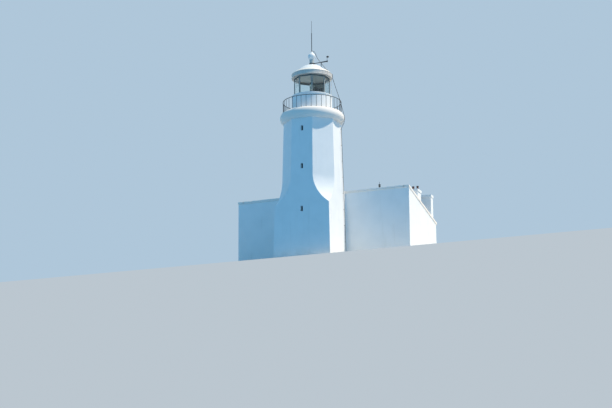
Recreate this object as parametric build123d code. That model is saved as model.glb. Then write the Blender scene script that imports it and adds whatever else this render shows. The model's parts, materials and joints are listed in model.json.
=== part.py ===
"""A white masonry lighthouse: an octagonal tower on a square base, its lantern, and the keeper's house behind it.

Millimetres, +Z up, the origin on the ground in the tower's axis. The house lies toward +Y.
"""
from build123d import *
from math import atan2, cos, pi, radians, sin, sqrt, tan
import os

# Tower: a square base whose corners turn into chamfers through hollow coves
BASE_WIDTH = 5000.0
BATTER = 0.024
STOP_FOOT = 4450.0
STOP_HEIGHT = 2500.0
LIFT_MARGIN = 50.0
TOWER_TOP = 11830.0
WELL_RADIUS = 1450.0
TOWER_FLOOR = 150.0
SIDES = 8

# Slit windows, one above another in the front face, two more in the back
SLIT_WIDTH = 210.0
SLIT_HEIGHT = 450.0
SLIT_CENTRES = [4060.0, 7690.0, 10940.0]
BACK_SLIT_CENTRES = [7690.0, 10940.0]
SLIT_SETBACK = 260.0
SASH_DEPTH = 50.0
SASH_BAR = 28.0
SLIT_GLASS = 8.0

# Doorway from the tower into the house
DOORWAY_WIDTH = 900.0
DOORWAY_HEIGHT = 2050.0

# Gallery
GALLERY_THICKNESS = 900.0
NOSE_CENTRE_RADIUS = 2330.0
NOSE_REACH = 370.0
RAIL_INSET = 250.0
RAIL_HEIGHT = 1000.0
RAIL_TUBE = 50.0
BALUSTER = 34.0
RAIL_PANELS = 12
BALUSTERS_PER_PANEL = 3
BALUSTER_PHASE = -1.7
PANEL_GAP = 8.0

# Lantern
WALL_RADIUS = 1690.0
WALL_THICKNESS = 190.0
WALL_HEIGHT = 1370.0
SILL_HEIGHT = 100.0
SILL_OVERHANG = 45.0
GALLERY_DOOR_WIDTH = 700.0
GALLERY_DOOR_LEAF = 45.0
GLAZING_RADIUS = 1510.0
GLAZING_HEIGHT = 1500.0
POST = 75.0
PANE = 12.0
HEAD_HEIGHT = 100.0
HEAD_WIDTH = 110.0
EAVE_RADIUS = 1710.0
EAVE_HEIGHT = 350.0
EAVE_COVING = 270.0
EAVE_STEP = 20.0
EAVE_INNER_RADIUS = 1130.0
CEILING_THICKNESS = 40.0
DOME_RADIUS = 1250.0
DOME_RISE = 620.0
DOME_THICKNESS = 40.0

# Vent, ball and rod above the dome
NECK_RADIUS = 190.0
NECK_FOOT_RADIUS = 340.0
NECK_HEIGHT = 550.0
NECK_FLARE = 170.0
BALL_RADIUS = 320.0
FINIAL_RADIUS = 110.0
FINIAL_TOP_RADIUS = 42.0
FINIAL_HEIGHT = 150.0
ROD_HEIGHT = 1650.0
ROD_RADIUS = 30.0
TIP_HEIGHT = 1110.0
TIP_RADIUS = 13.0

# Instrument arm on the vent neck
ARM_AZIMUTH = 84.5
ARM_REACH = 1520.0
ARM_RISE = 150.0
ARM_RADIUS = 32.0
ARM_STRUT_REACH = 900.0
CUP_STEM = 350.0
CUP_STEM_RADIUS = 14.4
STRUT_RADIUS = 25.6
SOCKET_RADIUS = 48.0
SOCKET_HEIGHT = 128.0
CUP_RADIUS = 110.0

# Light and its cabinet
LENS_RADIUS = 190.0
LENS_END_RADIUS = 148.0
LENS_SHOULDER = 165.0
LENS_HEIGHT = 660.0
LENS_FOOT = 2080.0
PEDESTAL_RADIUS = 115.0
TABLE_RADIUS = 195.0
TABLE_THICKNESS = 60.0
CABINET_WIDTH = 710.0
CABINET_DEPTH = 400.0
CABINET_HEIGHT = 2210.0
CABINET_AZIMUTH = 112.5
CABINET_DISTANCE = 570.0

# Rain pipe between the eave and the lantern sill
PIPE_AZIMUTH = 112.5
PIPE_RADIUS = 22.0
PIPE_DISTANCE = 1630.0
PIPE_COLLAR = 12.0
PIPE_COLLAR_HEIGHT = 40.0

# Lightning conductor, tight from the finial over the rail and down the wall
CABLE_AZIMUTH = 109.0
CABLE_RADIUS = 18.0
CABLE_OFFSET = 85.0
CABLE_FOOT = 200.0
CABLE_WALL_DROP = 430.0
CABLE_BEND = 60.0
CLIP_RADIUS = 14.0
CLIP_SPACING = 1300.0
CLIP_FOOT = 300.0
CLIP_BELOW_BEND = 100.0
CLAMP = [110.0, 80.0, 85.0]

# House
LEFT_WING = 4950.0
RIGHT_WING = 5480.0
FACADE_SETBACK = 1190.0
HOUSE_DEPTH = 7000.0
HOUSE_WALL = 450.0
PARAPET_TOP = 6080.0
ROOF_PITCH = 14.0
COPING_THICKNESS = 200.0
COPING_OVERHANG = 45.0
ROOF_THICKNESS = 250.0
ROOF_UPSTAND = 130.0
ROOF_EAVE = 120.0
HOUSE_FLOOR = 150.0

# Rear wall: a door and four windows, each a column between full piers
REAR_DOOR_WIDTH = 950.0
REAR_DOOR_HEIGHT = 2100.0
REAR_WINDOW_WIDTH = 900.0
REAR_WINDOW_SILL = 950.0
REAR_WINDOW_HEAD = 2250.0
REAR_OFFSETS = [1600.0, 4000.0, 6700.0, 9700.0, 12600.0]
REAR_DOOR_INDEX = 2
FRAME_WIDTH = 60.0
FRAME_DEPTH = 90.0
FRAME_SETBACK = 130.0
WINDOW_GLASS = 10.0

# Chimneys, flush with the outside of the right-hand wall
CHIMNEY_WIDTHS = [640.0, 960.0]
CHIMNEY_DEPTHS = [900.0, 560.0]
CHIMNEY_SETBACKS = [2190.0, 5740.0]
CHIMNEY_TOPS = [6230.0, 6500.0]
CHIMNEY_CAP = 200.0
CHIMNEY_CAP_OVERHANG = 50.0
POT_RADIUS = 100.0
POT_BORE = 72.0
POT_HEIGHT = 330.0
POT_WAIST = 88.0
POT_RIM = 50.0
POT_ROLL = 66.0
POT_SPACING = 380.0

# Small lamp on the right front coping
LAMP_FROM_RIGHT = 2630.0
LAMP_HEIGHT = 400.0
LAMP_RADIUS = 95.0
LAMP_STEM_RADIUS = 33.0
LAMP_HEAD_HEIGHT = 200.0
LAMP_CAP_RADIUS = 109.0
LAMP_CAP_TOP_RADIUS = 28.5
LAMP_CAP_HEIGHT = 64.0

# Fits
JOINT = 0.3
OPEN_JOINT = 5.0
FAR = 20000.0

RAIL_RADIUS = NOSE_CENTRE_RADIUS + NOSE_REACH - RAIL_INSET
LIFT_JOINT = STOP_FOOT + STOP_HEIGHT + LIFT_MARGIN
GALLERY_FLOOR = TOWER_TOP + GALLERY_THICKNESS
SILL_FOOT = GALLERY_FLOOR + WALL_HEIGHT
SILL_TOP = SILL_FOOT + SILL_HEIGHT
HEAD_TOP = SILL_TOP + GLAZING_HEIGHT + HEAD_HEIGHT
EAVE_TOP = HEAD_TOP + EAVE_HEIGHT
DOME_FOOT = EAVE_TOP + EAVE_COVING
SPHERE_RADIUS = (DOME_RADIUS ** 2 + DOME_RISE ** 2) / (2 * DOME_RISE)
SPHERE_CENTRE = DOME_FOOT + DOME_RISE - SPHERE_RADIUS
NECK_FOOT = SPHERE_CENTRE + sqrt(SPHERE_RADIUS ** 2 - NECK_FOOT_RADIUS ** 2)
NECK_TOP = NECK_FOOT + NECK_HEIGHT
BALL_CENTRE = NECK_TOP + sqrt(BALL_RADIUS ** 2 - NECK_RADIUS ** 2)
FINIAL_FOOT = BALL_CENTRE + sqrt(BALL_RADIUS ** 2 - FINIAL_RADIUS ** 2)
ROD_FOOT = FINIAL_FOOT + FINIAL_HEIGHT
ROD_TOP = ROD_FOOT + ROD_HEIGHT
FACADE = BASE_WIDTH / 2 - FACADE_SETBACK
HOUSE_LEFT = -BASE_WIDTH / 2 - LEFT_WING
HOUSE_RIGHT = BASE_WIDTH / 2 + RIGHT_WING
HOUSE_BACK = FACADE + HOUSE_DEPTH
INNER_LEFT = HOUSE_LEFT + HOUSE_WALL
INNER_RIGHT = HOUSE_RIGHT - HOUSE_WALL
REAR_CENTRES = [INNER_LEFT + offset for offset in REAR_OFFSETS]
FALL = tan(radians(ROOF_PITCH))


def toward(azimuth):
    """The level direction at an azimuth counted from the front (-Y) toward the right (+X)."""
    return Vector(sin(radians(azimuth)), -cos(radians(azimuth)), 0)


def upright(azimuth):
    """The upright plane through the tower's axis: its x runs outward, its y is height."""
    out = toward(azimuth)
    return Plane(origin=(0, 0, 0), x_dir=out, z_dir=out.cross(Vector(0, 0, 1)))


def save(name, solids):
    """Writes one node: a solid, or several that don't touch."""
    parts = solids if isinstance(solids, list) else [solids]
    pieces = []
    for part in parts:
        pieces.extend(part.solids())
    shape = pieces[0] if len(pieces) == 1 else Compound(children=pieces)
    export_step(shape, f"parts/{name}.step")
    print(name, len(pieces), round(sum(piece.volume for piece in pieces) / 1e9, 3))


def box(x0, x1, y0, y1, z0, z1):
    """A box between two corners."""
    return Pos((x0 + x1) / 2, (y0 + y1) / 2, (z0 + z1) / 2) * Box(x1 - x0, y1 - y0, z1 - z0)


def prism(points, z0, z1):
    """An upright prism over a plan."""
    plan = make_face(Polyline(*points, close=True))
    return extrude(Pos(0, 0, z0) * plan, z1 - z0, dir=(0, 0, 1))


def turned(edges):
    """A turned solid from a half section given as edges in the XZ plane."""
    return revolve(make_face(edges), Axis.Z, 360)


def turned_profile(points):
    """A turned solid from a half section with straight sides, as (radius, height) pairs."""
    corners = [(radius, 0, height) for radius, height in points]
    return turned(Polyline(*corners, close=True).edges())


def half_width(height, gap=0.0):
    """Half the tower's width between opposite faces at a height."""
    return BASE_WIDTH / 2 - BATTER * height + gap


def corner_cutter(azimuth, gap):
    """What the masons leave off one corner: a plain chamfer above, a hollow cove below it."""
    slope = sqrt(1 + BATTER ** 2)
    top = TOWER_TOP + BASE_WIDTH
    head = STOP_FOOT + STOP_HEIGHT
    head_x = half_width(head, gap)
    foot_x = half_width(STOP_FOOT, gap) * sqrt(2)
    outward = (1 / slope, BATTER / slope)
    back = (head_x - foot_x, head - STOP_FOOT)
    radius = -(back[0] ** 2 + back[1] ** 2) / (2 * (outward[0] * back[0] + outward[1] * back[1]))
    centre = (head_x + radius * outward[0], head + radius * outward[1])
    start = atan2(head - centre[1], head_x - centre[0]) % (2 * pi)
    finish = atan2(STOP_FOOT - centre[1], foot_x - centre[0]) % (2 * pi) + radians(8)

    def on_circle(angle):
        return (centre[0] + radius * cos(angle), centre[1] + radius * sin(angle))

    end = on_circle(finish)
    cove = ThreePointArc((head_x, head), on_circle((start + finish) / 2), end)
    rest = Polyline(end, (BASE_WIDTH, end[1]), (BASE_WIDTH, top), (half_width(top, gap), top), (head_x, head))
    profile = make_face(cove.edges() + rest.edges())
    return extrude(upright(azimuth) * profile, BASE_WIDTH, both=True)


def tower_envelope(gap=0.0):
    """The tower's outer form as one solid, its faces moved out by a gap."""
    foot = Rectangle(2 * half_width(0, gap), 2 * half_width(0, gap))
    top = Pos(0, 0, TOWER_TOP) * Rectangle(2 * half_width(TOWER_TOP, gap), 2 * half_width(TOWER_TOP, gap))
    form = loft([foot, top])
    for corner in range(4):
        form -= corner_cutter(45 + 90 * corner, gap)
    return form


def slit(height, face):
    """The clear space of a slit window through the front (-1) or back (+1) wall."""
    low = height - SLIT_HEIGHT / 2
    return box(-SLIT_WIDTH / 2, SLIT_WIDTH / 2, *sorted((face * WELL_RADIUS / 2, face * BASE_WIDTH)),
               low, low + SLIT_HEIGHT)


def tower_walls(envelope):
    """The walls in two lifts, each split at the corners and beside its openings."""
    well = Pos(0, 0, TOWER_TOP / 2) * Cylinder(WELL_RADIUS, TOWER_TOP)
    walls = envelope - well
    for height in SLIT_CENTRES:
        walls -= slit(height, -1)
    for height in BACK_SLIT_CENTRES:
        walls -= slit(height, 1)
    walls -= box(-DOORWAY_WIDTH / 2, DOORWAY_WIDTH / 2, WELL_RADIUS / 2, BASE_WIDTH, 0, DOORWAY_HEIGHT)

    def piece(name, plan, turn, low, high):
        turned_plan = [Vector(x, y).rotate(Axis.Z, turn) for x, y in plan]
        solid = walls & prism([(point.X, point.Y) for point in turned_plan], low, high)
        save(name, solid)

    reach = BASE_WIDTH
    lifts = [("base", 0, LIFT_JOINT), ("shaft", LIFT_JOINT, TOWER_TOP)]
    for lift, low, high in lifts:
        whole = [(0, 0), (-reach, -reach), (reach, -reach)]
        piece(f"tower_{lift}_right", whole, 90, low, high)
        piece(f"tower_{lift}_left", whole, -90, low, high)
        openings = [("front", 0, SLIT_WIDTH), ("back", 180, DOORWAY_WIDTH if lift == "base" else SLIT_WIDTH)]
        for side, turn, width in openings:
            half = width / 2
            hand = ["left", "right"] if side == "front" else ["right", "left"]
            piece(f"tower_{lift}_{side}_{hand[0]}", [(-half, -half), (-reach, -reach), (-half, -reach)],
                  turn, low, high)
            piece(f"tower_{lift}_{side}_{hand[1]}", [(half, -half), (half, -reach), (reach, -reach)],
                  turn, low, high)
            piece(f"tower_{lift}_{side}_centre", [(-half, -half), (-half, -reach), (half, -reach), (half, -half)],
                  turn, low, high)


def slit_windows():
    """A small fixed sash in each slit: four bars round one pane."""
    frames = []
    panes = []
    slits = [(height, -1) for height in SLIT_CENTRES] + [(height, 1) for height in BACK_SLIT_CENTRES]
    for height, face in slits:
        depth = half_width(height) - SLIT_SETBACK
        near, far = sorted((face * depth, face * (depth - SASH_DEPTH)))
        half = SLIT_WIDTH / 2 - JOINT
        tall = SLIT_HEIGHT / 2 - JOINT
        outer = box(-half, half, near, far, height - tall, height + tall)
        clear = box(-half + SASH_BAR, half - SASH_BAR, near, far,
                    height - tall + SASH_BAR, height + tall - SASH_BAR)
        frames.append(outer - clear)
        middle = (near + far) / 2
        panes.append(box(-half + SASH_BAR + JOINT, half - SASH_BAR - JOINT,
                         middle - SLIT_GLASS / 2, middle + SLIT_GLASS / 2,
                         height - tall + SASH_BAR + JOINT, height + tall - SASH_BAR - JOINT))
    save("slit_window_frames", frames)
    save("slit_window_glass", panes)


def gallery_solid():
    """The gallery floor: a round slab whose edge is a full rounded nose."""
    middle = TOWER_TOP + GALLERY_THICKNESS / 2
    nose = [
        Line((0, 0, TOWER_TOP), (NOSE_CENTRE_RADIUS, 0, TOWER_TOP)),
        Plane.XZ * EllipticalCenterArc(
            (NOSE_CENTRE_RADIUS, middle), NOSE_REACH, GALLERY_THICKNESS / 2, start_angle=-90, arc_size=180),
        Line((NOSE_CENTRE_RADIUS, 0, GALLERY_FLOOR), (0, 0, GALLERY_FLOOR)),
        Line((0, 0, GALLERY_FLOOR), (0, 0, TOWER_TOP)),
    ]
    return turned([edge for line in nose for edge in line.edges()])


def gallery_railing(gallery):
    """Twelve bays of a round handrail, each on balusters let into the edge of the gallery."""
    bay = 360 / RAIL_PANELS
    step = bay / BALUSTERS_PER_PANEL
    gap = PANEL_GAP / RAIL_RADIUS * 180 / pi
    rail_height = GALLERY_FLOOR + RAIL_HEIGHT - RAIL_TUBE / 2
    foot = TOWER_TOP + GALLERY_THICKNESS / 2
    section = Pos(RAIL_RADIUS, 0, rail_height) * (Plane.XZ * Circle(RAIL_TUBE / 2))
    bays = []
    for number in range(RAIL_PANELS):
        start = BALUSTER_PHASE + number * bay
        handrail = Rot(0, 0, start - bay / 2 + gap / 2) * revolve(section, Axis.Z, bay - gap)
        for bar in range(BALUSTERS_PER_PANEL):
            angle = start + (bar - (BALUSTERS_PER_PANEL - 1) / 2) * step
            post = Pos(RAIL_RADIUS, 0, (foot + rail_height) / 2) * Cylinder(BALUSTER / 2, rail_height - foot)
            handrail += Rot(0, 0, angle) * post
        bays.append(Rot(0, 0, 180 / SIDES - 90) * handrail - gallery)
    return bays


def ring(outer, inner, low, high):
    """A plain round ring."""
    return turned_profile([(inner, low), (outer, low), (outer, high), (inner, high)])


def octagon_corner(number, radius, height=0.0):
    """A corner of an octagon whose flats lie with the tower's faces."""
    return toward(360 / SIDES * (number + 0.5)) * radius + Vector(0, 0, height)


def octagon_prism(radius, low, high):
    """An octagonal prism by the radius of its corners."""
    corners = [octagon_corner(number, radius) for number in range(SIDES)]
    return prism([(corner.X, corner.Y) for corner in corners], low, high)


def lantern():
    """The lantern: its round wall, door, sill, octagonal glazing and head."""
    wall = ring(WALL_RADIUS, WALL_RADIUS - WALL_THICKNESS, GALLERY_FLOOR, SILL_FOOT)
    half = GALLERY_DOOR_WIDTH / 2
    wall -= box(-half, half, 0, FAR, GALLERY_FLOOR, SILL_FOOT)
    save("lantern_wall", wall)
    middle = WALL_RADIUS - WALL_THICKNESS / 2
    leaf = box(-half + JOINT, half - JOINT, middle - GALLERY_DOOR_LEAF / 2, middle + GALLERY_DOOR_LEAF / 2,
               GALLERY_FLOOR + JOINT, SILL_FOOT - JOINT)
    save("lantern_door", leaf)
    save("lantern_sill", ring(WALL_RADIUS + SILL_OVERHANG, WALL_RADIUS - WALL_THICKNESS - SILL_OVERHANG,
                              SILL_FOOT, SILL_TOP))
    low = SILL_TOP
    high = SILL_TOP + GLAZING_HEIGHT
    posts = []
    for number in range(SIDES):
        post = Pos(0, POST / 2 - GLAZING_RADIUS, (low + high) / 2) * Box(POST, POST, high - low)
        posts.append(Rot(0, 0, 360 / SIDES * (number + 0.5)) * post)
    save("lantern_posts", posts)
    flat = (GLAZING_RADIUS - POST / 2) * cos(pi / SIDES)
    span = 2 * (GLAZING_RADIUS - POST / 2) * sin(pi / SIDES) - POST / cos(pi / SIDES)
    span -= PANE * tan(pi / SIDES) + 2 * JOINT
    panes = []
    for number in range(SIDES):
        pane = Pos(0, -flat, (low + high) / 2) * Box(span, PANE, high - low - 2 * JOINT)
        panes.append(Rot(0, 0, 360 / SIDES * number) * pane)
    blank = panes.pop(SIDES // 2)
    save("lantern_glass", panes)
    save("lantern_blank_panel", blank)
    head = octagon_prism(GLAZING_RADIUS, high, HEAD_TOP)
    save("lantern_head", head - octagon_prism(GLAZING_RADIUS - HEAD_WIDTH, high, HEAD_TOP))


def roof():
    """The lantern's roof: eave ring, ceiling, dome and vent neck. Returns the ring and the neck."""
    lip = EAVE_RADIUS - EAVE_STEP
    dome_outer = DOME_RADIUS + DOME_THICKNESS
    edge = Plane.XZ * (Curve() + [
        Line((EAVE_INNER_RADIUS, HEAD_TOP), (EAVE_RADIUS, HEAD_TOP)),
        Line((EAVE_RADIUS, HEAD_TOP), (EAVE_RADIUS, EAVE_TOP)),
        Line((EAVE_RADIUS, EAVE_TOP), (lip, EAVE_TOP)),
        RadiusArc((lip, EAVE_TOP), (dome_outer, DOME_FOOT), -2 * EAVE_COVING),
        Line((dome_outer, DOME_FOOT), (EAVE_INNER_RADIUS, DOME_FOOT)),
        Line((EAVE_INNER_RADIUS, DOME_FOOT), (EAVE_INNER_RADIUS, HEAD_TOP)),
    ])
    eave = turned(edge.edges())
    save("eave_ring", eave)
    save("lantern_ceiling", Pos(0, 0, HEAD_TOP + CEILING_THICKNESS / 2)
         * Cylinder(EAVE_INNER_RADIUS - JOINT, CEILING_THICKNESS))
    centre = Pos(0, 0, SPHERE_CENTRE)
    shell = centre * Sphere(SPHERE_RADIUS) - centre * Sphere(SPHERE_RADIUS - DOME_THICKNESS)
    save("dome", shell & ring(DOME_RADIUS * 2, NECK_RADIUS / 2, DOME_FOOT, NECK_FOOT))
    spread = NECK_FOOT_RADIUS - NECK_RADIUS
    flare = (spread ** 2 + NECK_FLARE ** 2) / (2 * spread)
    hub = (NECK_RADIUS + flare, NECK_FOOT + NECK_FLARE)
    bend = (pi + atan2(-NECK_FLARE, spread - flare) % (2 * pi)) / 2
    neck = Plane.XZ * (Curve() + [
        Line((0, NECK_FOOT), (NECK_FOOT_RADIUS, NECK_FOOT)),
        ThreePointArc((NECK_FOOT_RADIUS, NECK_FOOT), (hub[0] + flare * cos(bend), hub[1] + flare * sin(bend)),
                      (NECK_RADIUS, NECK_FOOT + NECK_FLARE)),
        Line((NECK_RADIUS, NECK_FOOT + NECK_FLARE), (NECK_RADIUS, NECK_TOP)),
        Line((NECK_RADIUS, NECK_TOP), (0, NECK_TOP)),
        Line((0, NECK_TOP), (0, NECK_FOOT)),
    ])
    neck_solid = turned(neck.edges())
    save("vent_neck", neck_solid)
    return eave, neck_solid


def upper_vent():
    """The ball vent with its seam and finial, and the lightning rod on it."""
    seat = NECK_TOP
    start = atan2(seat - BALL_CENTRE, NECK_RADIUS)
    finish = atan2(FINIAL_FOOT - BALL_CENTRE, FINIAL_RADIUS)
    middle = (start + finish) / 2
    ball = Plane.XZ * (Curve() + [
        Line((0, seat), (NECK_RADIUS, seat)),
        ThreePointArc((NECK_RADIUS, seat),
                      (BALL_RADIUS * cos(middle), BALL_CENTRE + BALL_RADIUS * sin(middle)),
                      (FINIAL_RADIUS, FINIAL_FOOT)),
        Line((FINIAL_RADIUS, FINIAL_FOOT), (FINIAL_TOP_RADIUS, ROD_FOOT)),
        Line((FINIAL_TOP_RADIUS, ROD_FOOT), (0, ROD_FOOT)),
        Line((0, ROD_FOOT), (0, seat)),
    ])
    save("vent_ball", turned(ball.edges()))
    save("lightning_rod", turned_profile([
        (0, ROD_FOOT), (ROD_RADIUS, ROD_FOOT), (ROD_RADIUS, ROD_TOP), (TIP_RADIUS, ROD_TOP + ROD_RADIUS),
        (TIP_RADIUS, ROD_TOP + TIP_HEIGHT - ROD_RADIUS), (0, ROD_TOP + TIP_HEIGHT)]))


def instrument_arm(neck):
    """The arm clamped to the vent neck, with its strut to the dome and the cup on its end."""
    height = NECK_FOOT + ARM_RISE
    out = toward(ARM_AZIMUTH)

    def post(reach, low, high, radius):
        return Pos(out * reach + Vector(0, 0, (low + high) / 2)) * Cylinder(radius, high - low)

    inner = Vector(0, 0, height) + out * (NECK_RADIUS / 2)
    arm = Plane(origin=inner, z_dir=out) * Cylinder(
        ARM_RADIUS, ARM_REACH - NECK_RADIUS / 2, align=(Align.CENTER, Align.CENTER, Align.MIN))
    strut = post(ARM_STRUT_REACH, SPHERE_CENTRE, height, STRUT_RADIUS)
    socket_reach = ARM_REACH - SOCKET_RADIUS
    socket = post(socket_reach, height - SOCKET_HEIGHT / 2, height + SOCKET_HEIGHT / 2, SOCKET_RADIUS)
    stem = post(socket_reach, height, height + CUP_STEM, CUP_STEM_RADIUS)
    cup = post(ARM_REACH, height + CUP_STEM, height + CUP_STEM + CUP_RADIUS / 2, CUP_RADIUS)
    keep_out = Pos(0, 0, SPHERE_CENTRE) * Sphere(SPHERE_RADIUS)
    save("instrument_arm", arm + strut + stem + socket + cup - keep_out - neck)


def light():
    """The drum lens on its pedestal, and the cabinet beside it."""
    floor = GALLERY_FLOOR
    lens_foot = floor + LENS_FOOT
    save("optic_pedestal", turned_profile([
        (0, floor), (TABLE_RADIUS, floor), (TABLE_RADIUS, floor + TABLE_THICKNESS / 2),
        (PEDESTAL_RADIUS, floor + TABLE_THICKNESS), (PEDESTAL_RADIUS, lens_foot - TABLE_THICKNESS),
        (TABLE_RADIUS, lens_foot - TABLE_THICKNESS / 2), (TABLE_RADIUS, lens_foot), (0, lens_foot)]))
    lens_top = lens_foot + LENS_HEIGHT
    save("optic_lens", turned_profile([
        (0, lens_foot), (LENS_END_RADIUS, lens_foot), (LENS_RADIUS, lens_foot + LENS_SHOULDER),
        (LENS_RADIUS, lens_top - LENS_SHOULDER), (LENS_END_RADIUS, lens_top), (0, lens_top)]))
    cabinet = Pos(0, -CABINET_DISTANCE, floor + CABINET_HEIGHT / 2) * Box(
        CABINET_DEPTH, CABINET_WIDTH, CABINET_HEIGHT)
    save("lamp_cabinet", Rot(0, 0, CABINET_AZIMUTH) * cabinet)


def rain_pipe():
    """The thin white pipe from the eave's soffit to the lantern sill, with a collar at each end."""
    collar = PIPE_RADIUS + PIPE_COLLAR
    lower = SILL_TOP + PIPE_COLLAR_HEIGHT
    upper = HEAD_TOP - PIPE_COLLAR_HEIGHT
    pipe = turned_profile([
        (0, SILL_TOP), (collar, SILL_TOP), (collar, lower), (PIPE_RADIUS, lower),
        (PIPE_RADIUS, upper), (collar, upper), (collar, HEAD_TOP), (0, HEAD_TOP)])
    save("lantern_rain_pipe", Pos(toward(PIPE_AZIMUTH) * PIPE_DISTANCE) * pipe)


def conductor(envelope, gallery, railing, eave):
    """The taut conductor cable with the clips that hold it to what it passes."""
    plane = upright(CABLE_AZIMUTH)
    share = sin(radians(CABLE_AZIMUTH))
    wall_top = TOWER_TOP - CABLE_WALL_DROP

    def at_wall(height):
        return (half_width(height) / share + CABLE_OFFSET, height)

    nose = NOSE_CENTRE_RADIUS + NOSE_REACH + CABLE_RADIUS * 2
    middle = TOWER_TOP + GALLERY_THICKNESS / 2
    past_eave = EAVE_RADIUS + CABLE_RADIUS * 2
    route = [
        (ROD_RADIUS / 2, ROD_FOOT + ROD_RADIUS * 2),
        (BALL_RADIUS * 0.75, BALL_CENTRE + BALL_RADIUS * 1.28),
        (BALL_RADIUS * 1.53, BALL_CENTRE - BALL_RADIUS * 0.56),
        (DOME_RADIUS * 0.9, DOME_FOOT + DOME_RISE * 0.55),
        (past_eave, EAVE_TOP),
        (past_eave + CABLE_RADIUS, HEAD_TOP),
        (RAIL_RADIUS - RAIL_TUBE / 2 - CABLE_RADIUS * 1.5, GALLERY_FLOOR + RAIL_HEIGHT),
        (nose - NOSE_REACH / 4, GALLERY_FLOOR - CABLE_RADIUS * 2),
        (nose, middle + NOSE_REACH / 6),
        (nose - NOSE_REACH / 6, TOWER_TOP + NOSE_REACH / 6),
        at_wall(wall_top),
    ]
    path = FilletPolyline(*route, at_wall(CABLE_FOOT), radius=CABLE_BEND)
    placed = plane * path
    cable = sweep(Plane(origin=placed @ 0, z_dir=placed % 0) * Circle(CABLE_RADIUS), path=placed)
    out = toward(CABLE_AZIMUTH)

    def clip(reach, height, length):
        start = Vector(0, 0, height) + out * (reach - length)
        return Plane(origin=start, z_dir=out) * Cylinder(
            CLIP_RADIUS, length, align=(Align.CENTER, Align.CENTER, Align.MIN))

    clips = []
    clipped = wall_top - CLIP_BELOW_BEND - CLIP_FOOT
    count = int(clipped / CLIP_SPACING)
    for number in range(count + 1):
        height = CLIP_FOOT + number * clipped / count
        clips.append(clip(at_wall(height)[0], height, CABLE_OFFSET * 2) - envelope)
    clips.append(clip(past_eave + CABLE_RADIUS / 2, (HEAD_TOP + EAVE_TOP) / 2, CABLE_RADIUS * 6))
    clips.append(clip(nose, middle, CABLE_RADIUS * 8))
    clamp_height = GALLERY_FLOOR + RAIL_HEIGHT - RAIL_TUBE / 2
    clamp = Pos(out * (RAIL_RADIUS - RAIL_TUBE / 2 - CABLE_RADIUS) + Vector(0, 0, clamp_height))
    clips.append(clamp * Rot(0, 0, CABLE_AZIMUTH - 90) * Box(*CLAMP))
    solid = cable
    for item in clips:
        solid += item
    solid -= gallery
    for bay in railing:
        solid -= bay
    solid -= eave
    solid -= Pos(0, 0, ROD_FOOT + ROD_RADIUS * 2) * Cylinder(ROD_RADIUS, ROD_RADIUS * 8)
    save("lightning_conductor", solid)


def roof_line(y, drop=0.0):
    """The height of the plane of the copings' tops at a depth, less a drop."""
    return PARAPET_TOP - FALL * (y - FACADE) - drop


def along_x(points, x0, x1):
    """A prism along X from a section given as (depth, height) pairs."""
    section = make_face(Polyline(*[(x0, y, z) for y, z in points], close=True))
    return extrude(section, x1 - x0, dir=(1, 0, 0))


def sloped(y0, y1, top_drop, thickness, x0, x1):
    """A slab that lies in the fall of the roof."""
    return along_x([(y0, roof_line(y0, top_drop + thickness)), (y1, roof_line(y1, top_drop + thickness)),
                    (y1, roof_line(y1, top_drop)), (y0, roof_line(y0, top_drop))], x0, x1)


def wall_below(y0, y1, drop, x0, x1, low=0.0):
    """An upright wall whose top lies in the fall of the roof."""
    return along_x([(y0, low), (y1, low), (y1, roof_line(y1, drop)), (y0, roof_line(y0, drop))], x0, x1)


def house(envelope):
    """The keeper's house behind the tower: floor, walls, roof, copings and chimneys."""
    front_inner = FACADE + HOUSE_WALL
    back_inner = HOUSE_BACK - HOUSE_WALL
    roof_drop = COPING_THICKNESS + ROOF_UPSTAND
    save("house_floor", box(INNER_LEFT, INNER_RIGHT, front_inner, back_inner, 0, HOUSE_FLOOR) - envelope)
    save("house_front_left", wall_below(FACADE, front_inner, COPING_THICKNESS, INNER_LEFT, 0) - envelope)
    save("house_front_right", wall_below(FACADE, front_inner, COPING_THICKNESS, 0, INNER_RIGHT) - envelope)
    left_wall = wall_below(FACADE, HOUSE_BACK, COPING_THICKNESS, HOUSE_LEFT, INNER_LEFT)
    right_wall = wall_below(FACADE, HOUSE_BACK, COPING_THICKNESS, INNER_RIGHT, HOUSE_RIGHT)
    save("house_left_wall", left_wall)
    save("house_right_wall", right_wall)
    roof_slab = sloped(front_inner, HOUSE_BACK + ROOF_EAVE, roof_drop, ROOF_THICKNESS, INNER_LEFT, INNER_RIGHT)
    save("house_roof", roof_slab - envelope)
    inner = front_inner + COPING_OVERHANG
    outer = FACADE - COPING_OVERHANG
    left_out = HOUSE_LEFT - COPING_OVERHANG
    left_in = INNER_LEFT + COPING_OVERHANG
    right_in = INNER_RIGHT - COPING_OVERHANG
    right_out = HOUSE_RIGHT + COPING_OVERHANG
    save("front_copings", [
        sloped(outer, inner, 0, COPING_THICKNESS, left_in + OPEN_JOINT, 0) - envelope,
        sloped(outer, inner, 0, COPING_THICKNESS, 0, right_in - OPEN_JOINT) - envelope])
    verge_end = HOUSE_BACK + ROOF_EAVE
    right_coping = sloped(outer, verge_end, 0, COPING_THICKNESS, right_in, right_out)
    save("verge_copings", [sloped(outer, verge_end, 0, COPING_THICKNESS, left_out, left_in), right_coping])
    rear_wall(back_inner, roof_drop + ROOF_THICKNESS)
    chimneys(roof_slab + right_wall + right_coping)


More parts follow.
